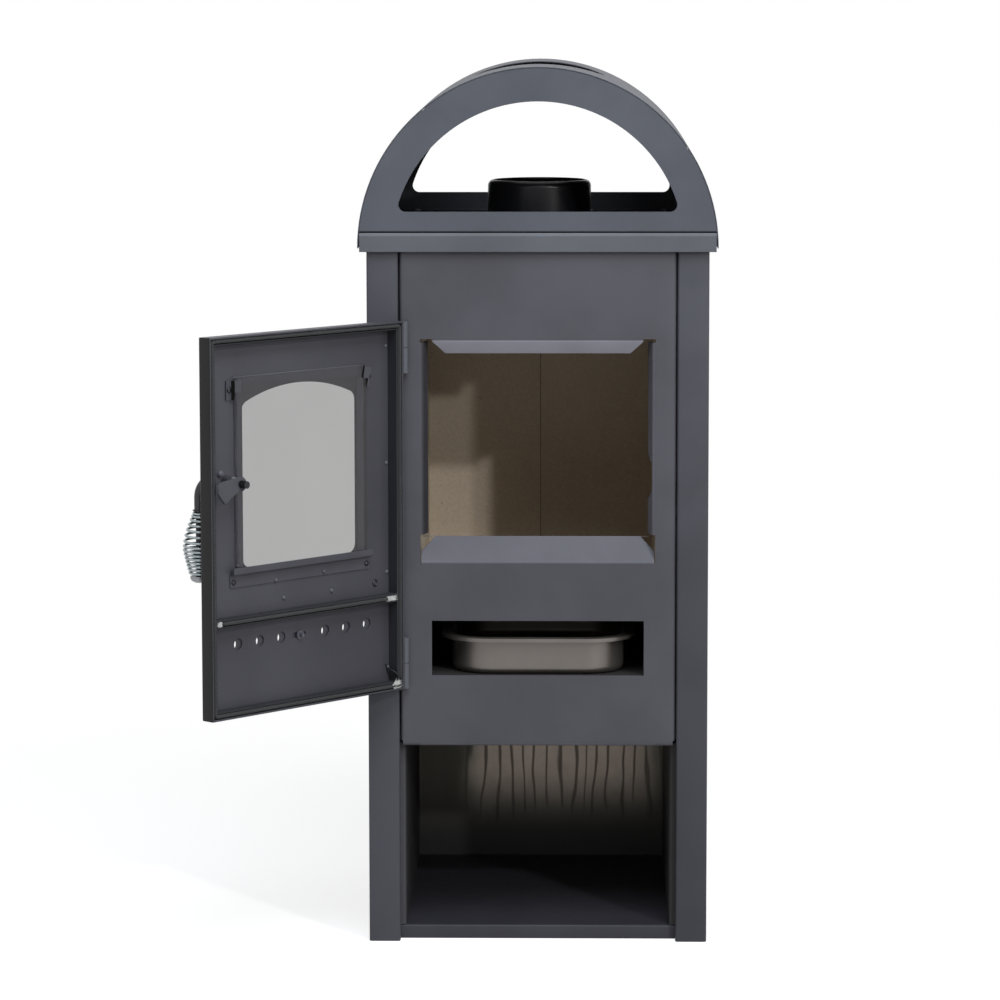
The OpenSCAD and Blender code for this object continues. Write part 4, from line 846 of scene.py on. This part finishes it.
def dome(bm, where, width, height, recess):
    """Adds a head that stands on the plane z = 0 of its own frame; recess is cross, slot or None."""
    radius = width / 2
    head = bmesh.new()
    spun(head, [(x * radius, z * height) for x, z in DOME], HEAD_STEPS)
    if recess:
        press(head, radius, height, recess)
    bmesh.ops.transform(head, matrix=where, verts=head.verts)
    mesh = bpy.data.meshes.new("head")
    head.to_mesh(mesh)
    head.free()
    bm.from_mesh(mesh)
    bpy.data.meshes.remove(mesh)


def facing(point, way, spin=0.0):
    """The frame of a head at a point, looking along way, turned by spin."""
    turn = Vector(way).to_track_quat("Z", "Y").to_matrix().to_4x4()
    return Matrix.Translation(point) @ turn @ Matrix.Rotation(spin, 4, "Z")


def heads(name, points, way, width, height, recess, finish, body, stands_for=(), turned=NO_TURN):
    """One piece of several heads that look the same way, each turned by chance."""
    chance = random.Random(1)
    bm = bmesh.new()
    for point in points:
        dome(bm, facing(point, way, chance.uniform(0, 3)), width, height, recess)
    return make_piece(name, bm, finish, body, stands_for, turned, 40)


print("a head is a profile of", len(DOME), "points spun in", HEAD_STEPS, "steps")

# %% [markdown]
# ## Where the screws are
# Eight screws hold the canopy to the top plate, two rows of four hold the rear panel, and one small screw holds each
# clip of the glass. Their places are those of the CAD screws that they stand for.

# %% Screws
TOP_Z, TOP_EDGE_X, TOP_EDGE_Y = 0.8, 0.1975, 0.2075
CANOPY_FOOT, CANOPY_FLANGE, FOOT_SHEET = 0.0494, 0.009, 0.0015
REAR_X, REAR_Y = 0.181, 0.2
SKIN_IN, CLIP_T = -0.217, 1.5 * MM
CLIP_Z, CLIP_SCREW_X = 0.644, 0.1053
UPWARDS, INWARDS = (0, 0, 1), (0, 1, 0)
canopy_x = [k * (TOP_EDGE_X - CANOPY_FOOT) for k in (-1, -0.4, 0.4, 1)]
canopy_at = [(x, s * (TOP_EDGE_Y - CANOPY_FLANGE), TOP_Z + FOOT_SHEET) for x in canopy_x for s in (-1, 1)]
heads("canopy_heads", canopy_at, UPWARDS, 8 * MM, 2.6 * MM, "cross", rivet_paint, "cabinet",
      ("canopy_screws",))
rear_z = [0.06 + i * (TOP_Z - 0.12) / 3 for i in range(4)]
rear_at = [(s * REAR_X, REAR_Y, z) for s in (-1, 1) for z in rear_z]
heads("rear_heads", rear_at, INWARDS, 8 * MM, 2.6 * MM, "cross", zinc, "cabinet",
      ("rear_screws",))
clip_at = [(DOOR_MID + s * CLIP_SCREW_X, SKIN_IN + CLIP_T, CLIP_Z) for s in (-1, 1)]
heads("clip_heads", clip_at, INWARDS, 6.5 * MM, 2.6 * MM, "slot", dark_steel, "door",
      ("clip_screws",), DOOR)

# %% [markdown]
# ## The clips of the glass
# The pane is not screwed down, because it grows when it is hot. Two clips of spring sheet hold its upper corners.
# Each is one strip folded twice, and the one on the hinge side has turned a little on its screw. The strips are a
# few faces that get their thickness. The risers stand in the shade beside the pane, and take a second, much darker
# finish as painted shade.

# %% Spring clips
def clip_sheet(bm, side, turn):
    """A foot on the door, a riser beside the pane and a tongue over it, which is cut shorter than the riser."""
    foot, riser, tongue = 11.5, 3.0, -5.5
    low, high = 0.6, 6.35
    made = []
    for line, heights in (([(foot, low), (riser, low), (riser, high), (tongue, high)], (-3, 10)),
                          ([(foot, low), (riser, low), (riser, high)], (-11, -3))):
        for (u, v), (u2, v2) in zip(line, line[1:]):
            corners = [(u, v, heights[0]), (u, v, heights[1]), (u2, v2, heights[1]), (u2, v2, heights[0])]
            made.append(bm.faces.new([bm.verts.new((a * MM, b * MM, c * MM)) for a, b, c in corners]))
    verts = list({v for f in made for v in f.verts})
    pivot = Vector((7.3 * MM, 0, 0))
    swing = Matrix.Translation(pivot) @ Matrix.Rotation(math.radians(turn), 4, "Y") @ Matrix.Translation(-pivot)
    place = Matrix.Translation((DOOR_MID + side * 0.098, SKIN_IN, CLIP_Z)) @ Matrix.Scale(side, 4, (1, 0, 0))
    bmesh.ops.transform(bm, matrix=place @ swing, verts=verts)


TURNED_CLIP = 12
bm = bmesh.new()
clip_sheet(bm, 1, 0)
clip_sheet(bm, -1, TURNED_CLIP)
bmesh.ops.remove_doubles(bm, verts=bm.verts, dist=0.00001)
outward(bm)
bmesh.ops.solidify(bm, geom=bm.faces[:], thickness=1.0 * MM)
outward(bm)
# the risers' faces take the black second finish as painted shade
for face in bm.faces:
    face.material_index = int(abs(face.normal.x) > 0.6)
span = [round((f(v.co.y for v in bm.verts) - SKIN_IN) / MM, 2) for f in (min, max)]
print("clips span", span, "mm from the skin")
clips = make_piece("spring_clips", bm, door_paint, "door", ("glass_clips",), DOOR, 40)
clips.data.materials.append(soot_and_shade_black)
ledge_at = [(DOOR_MID + s * 0.101, SKIN_IN + CLIP_T, 0.436) for s in (-1, 1)]
heads("ledge_heads", ledge_at, INWARDS, 6 * MM, 2.4 * MM, "slot", dark_steel, "door",
      ("ledge_screws",), DOOR)

# %% [markdown]
# ## Rivets on the door
# Round rivets hold the ledge and the strips of the seal; they are pressed, not screwed, so they have no recess.
# The four along the hinge side hold the corner strip of the rope channel. One more, near the end of the divider,
# is a tubular rivet: its shank is hollow and rolled outwards, so it shows as a small ring round a dark hole.

# %% Door rivets
RIVETS = [(0.038, 0.037, 1), (-0.035, 0.039, 1), (0.025, 0.016, 0), (-0.048, 0.016, 0)]
rivets_at = [(DOOR_MID + x, SKIN_IN + up * CLIP_T, DIVIDER_Z + z) for x, z, up in RIVETS]
heads("door_rivet_heads", rivets_at, INWARDS, 5 * MM, 2 * MM, None, rivet_paint, "door",
      ("door_rivets",), DOOR)
STRIP_X, STRIP_RIVETS = -0.1312, ((0.6755, 0), (0.5452, 0), (0.4231, 0), (0.3154, 1.1))
strip_at = [(STRIP_X, SKIN_IN + lift * MM, z) for z, lift in STRIP_RIVETS]
heads("strip_rivets", strip_at, INWARDS, 4.4 * MM, 1.6 * MM, None, rivet_paint, "door",
      (), DOOR)
ROLLED = ((4.2, 0), (4.1, 0.7), (3.5, 1.1), (2.8, 1.0), (2.3, 0.4), (2.2, -1.6))
RING_AT = (-0.1125, SKIN_IN + 0.0001, 0.4125)
bm = bmesh.new()
spun(bm, [(r * MM, z * MM) for r, z in ROLLED], 28)
make_piece("ring_rivet", bm, dark_steel, "door", (), DOOR @ facing(RING_AT, INWARDS))

# %% [markdown]
# ## Frayed ends
# Glass-fibre rope cannot be sealed at a cut, so each end opens into a brush of loose white yarns: at both ends of
# the divider and where the long rope closes on itself in the lower hinge corner. Each yarn is a ring of a few
# sides, extruded in steps that bend and thin it. The yarns of one end differ only by a seeded chance.

# %% Loose yarns
LIP_Y = -0.2004
YARN_SIDES, YARN_STEPS, TAPER = 5, 4, 0.8


def yarns(name, start, along, out, size, reach, spread, count, seed):
    """A brush over a patch of size (along, across) at start, whose yarns lie along and stand out a little.
    None of them passes LIP_Y, the plane in which the door meets the cabinet."""
    chance = random.Random(seed)
    across = along.cross(out)
    bm = bmesh.new()
    for _ in range(count):
        root = start + along * chance.uniform(0, size[0]) + across * chance.uniform(-size[1], size[1]) / 2
        way = (along + across * chance.gauss(0, spread) + out * chance.uniform(-0.1, 0.35)).normalized()
        bend = across * chance.gauss(0, spread) - out * chance.uniform(0.1, 0.5)
        length, thick = reach * chance.uniform(0.6, 1.2), chance.uniform(0.22, 0.4) * MM
        turn = way.to_track_quat("Z", "Y").to_matrix().to_4x4()
        foot = Matrix.Translation(root) @ turn
        ring = bmesh.ops.create_circle(bm, segments=YARN_SIDES, radius=thick, matrix=foot)["verts"]
        edges = list({e for v in ring for e in v.link_edges})
        for step in range(YARN_STEPS):
            grown = bmesh.ops.extrude_edge_only(bm, edges=edges)["geom"]
            ring = verts_of(grown)
            edges = [g for g in grown if isinstance(g, bmesh.types.BMEdge)]
            way = (way + bend * 0.25).normalized()
            middle = sum((v.co for v in ring), Vector()) / len(ring)
            for vert in ring:
                vert.co = middle + way * (length / YARN_STEPS) + (vert.co - middle) * TAPER
                vert.co.y = min(vert.co.y, LIP_Y)
    outward(bm)
    return make_piece(name, bm, frayed_fibre, "door", (), DOOR, 60)


yarns("frayed_hinge_end", Vector((-0.1155, -0.2035, DIVIDER_Z)), Vector((-1, 0, 0)), OUT,
      (0.0125, 0.0046), 0.006, 0.14, 190, 11)
yarns("frayed_free_end", Vector((0.1325, -0.2035, DIVIDER_Z)), Vector((1, 0, 0)), OUT,
      (0.003, 0.0048), 0.0045, 0.3, 110, 12)
yarns("frayed_corner", Vector((-0.1250, -0.2020, DOOR_Z[0] + ROPE_IN)), Vector((-1, 0, 0.15)).normalized(), OUT,
      (0.009, 0.0065), 0.008, 0.3, 150, 13)

# %% [markdown]
# ## The tab in the corner
# Over the joint of the long rope a narrow strip of dark steel, bent up from its rivet, keeps the two ends down.
# It is a flat strip of faces, extruded step by step along its bend and given its thickness.

# %% Corner tab
TAB = [(-0.1290, -0.2168, 0.3180), (-0.1308, -0.2166, 0.3150), (-0.1300, -0.2105, 0.3125),
       (-0.1316, -0.2035, 0.3095), (-0.1345, -0.2012, 0.3060), (-0.1375, -0.2010, 0.3020)]
TAB_HALF, TAB_SHEET = 2.4 * MM, 0.0008
bm = bmesh.new()
sideways = Vector((0.72, 0, 0.69)) * TAB_HALF
last = [bm.verts.new(Vector(TAB[0]) - sideways), bm.verts.new(Vector(TAB[0]) + sideways)]
edge = bm.edges.new(last)
for before, after in zip(TAB, TAB[1:]):
    grown = bmesh.ops.extrude_edge_only(bm, edges=[edge])["geom"]
    bmesh.ops.translate(bm, vec=Vector(after) - Vector(before), verts=verts_of(grown))
    edge = next(g for g in grown if isinstance(g, bmesh.types.BMEdge) and all(v in grown for v in g.verts))
outward(bm)
bmesh.ops.solidify(bm, geom=bm.faces[:], thickness=TAB_SHEET)
outward(bm)
make_piece("corner_tab", bm, dark_steel, "door", (), DOOR, 50)

# %% [markdown]
# ## The studio
# A product photograph is cut out: its ground is plain white, though the room that lit the stove was not. So camera,
# glossy and see-through rays find white, while the light on the stove comes from the lamps, the lit floor and a
# dim world. A few nodes tell the two kinds of ray apart.

# %% What a ray is
def seen_directly(tree):
    """1 for the rays that should find a white background, 0 for the rest."""
    rays = tree.nodes.new("ShaderNodeLightPath")
    shown = rays.outputs["Is Camera Ray"]
    for name in ("Is Glossy Ray", "Is Transmission Ray"):
        either = tree.nodes.new("ShaderNodeMath")
        either.operation = "MAXIMUM"
        tree.links.new(shown, either.inputs[0])
        tree.links.new(rays.outputs[name], either.inputs[1])
        shown = either.outputs[0]
    return shown


print("rays that see the stage: camera, glossy and transmission")

# %% [markdown]
# ## The world
# The world is the light that the studio's walls give back: dim and even, so that the niche and the firebox keep
# their shade, and white only for the rays that look at it directly.

# %% World
AMBIENT = 0.16
world = bpy.data.worlds.new("studio")
bpy.context.scene.world = world
world.use_nodes = True
tree = world.node_tree
ambient = tree.nodes["Background"]
ambient.inputs["Color"].default_value = (1, 1, 1, 1)
ambient.inputs["Strength"].default_value = AMBIENT
white = tree.nodes.new("ShaderNodeBackground")
white.inputs["Color"].default_value = (1, 1, 1, 1)
either = tree.nodes.new("ShaderNodeMixShader")
tree.links.new(seen_directly(tree), either.inputs[0])
tree.links.new(ambient.outputs[0], either.inputs[1])
tree.links.new(white.outputs[0], either.inputs[2])
tree.links.new(either.outputs[0], tree.nodes["World Output"].inputs["Surface"])
print("ambient light", AMBIENT)

# %% [markdown]
# ## The lamps
# The photograph shows two small lamps to the right of the camera: each throws the outline of the doorway on to
# the back of the firebox, and the place of that outline gives the lamp's direction. Two large soft lamps, above
# and to the left, do the rest. The one above is a little blue, which the top of the canopy shows.

# %% Lamps
def lamp(name, at, target, size, power, colour=(1, 1, 1)):
    data = bpy.data.lights.new(name, "AREA")
    data.shape, data.size, data.energy, data.color = "DISK", size, power, colour
    made = bpy.data.objects.new(name, data)
    made.location = at
    made.rotation_euler = (Vector(target) - Vector(at)).to_track_quat("-Z", "Y").to_euler()
    bpy.context.collection.objects.link(made)


MIDDLE = (0, 0, 0.6)
lamp("low_right", (2.035, -3.2, 1.435), MIDDLE, 0.14, 18)
lamp("high_right", (1.845, -3.2, 2.24), MIDDLE, 0.14, 33)
lamp("overhead", (0.3, -1.7, 2.8), (0, -0.1, 0.9), 1.8, 50, (0.90, 0.98, 1.05))
lamp("left", (-2.6, -1.2, 1.9), MIDDLE, 1.6, 5)
print("lamps:", [light.name for light in bpy.data.lights])

# %% [markdown]
# ## The floor
# The floor is a matt sheet that runs out of sight. Near the stove it takes the soft shadow, and for the rays that
# look at it directly it glows, nearly as bright as the world. Further out it turns into the same white, so that
# no horizon is seen.

# %% Floor
FLOOR_HALF, FLOOR_GLOW = 14, 0.78
SHADOW_ENDS, WHITE_FROM = 0.55, 1.5
FLOOR_DULL, FLOOR_PALE = (0.54, 0.54, 0.54, 1), (0.56, 0.56, 0.56, 1)
bm = bmesh.new()
bmesh.ops.create_grid(bm, x_segments=1, y_segments=1, size=FLOOR_HALF)
floor_mesh = bpy.data.meshes.new("studio_floor")
bm.to_mesh(floor_mesh)
bm.free()
studio_floor = bpy.data.objects.new("studio_floor", floor_mesh)
bpy.context.collection.objects.link(studio_floor)
ground = Finish("ground", Roughness=0.9, Specular_IOR_Level=0.0)
ground.wear(Base_Color=ground.mix(ground.noise(2), FLOOR_DULL, FLOOR_PALE))
direct = Value(ground, seen_directly(ground.tree))
glow = ground.node("ShaderNodeEmission", {}, {"Strength": direct * FLOOR_GLOW})
lit = ground.node("ShaderNodeAddShader", {}, {0: Value(ground, ground.shader.outputs[0]), 1: glow})
white = ground.node("ShaderNodeEmission", {}, {"Strength": 1.0})
distance = ground.node("ShaderNodeVectorMath", {"operation": "LENGTH"}, {0: ground.place}, "Value")
far = direct * distance.rise(SHADOW_ENDS, WHITE_FROM)
both = ground.node("ShaderNodeMixShader", {}, {0: far, 1: lit, 2: white})
ground.tree.links.new(both.socket, ground.tree.nodes["Material Output"].inputs["Surface"])
floor_mesh.materials.append(ground.material)
print("studio ready")
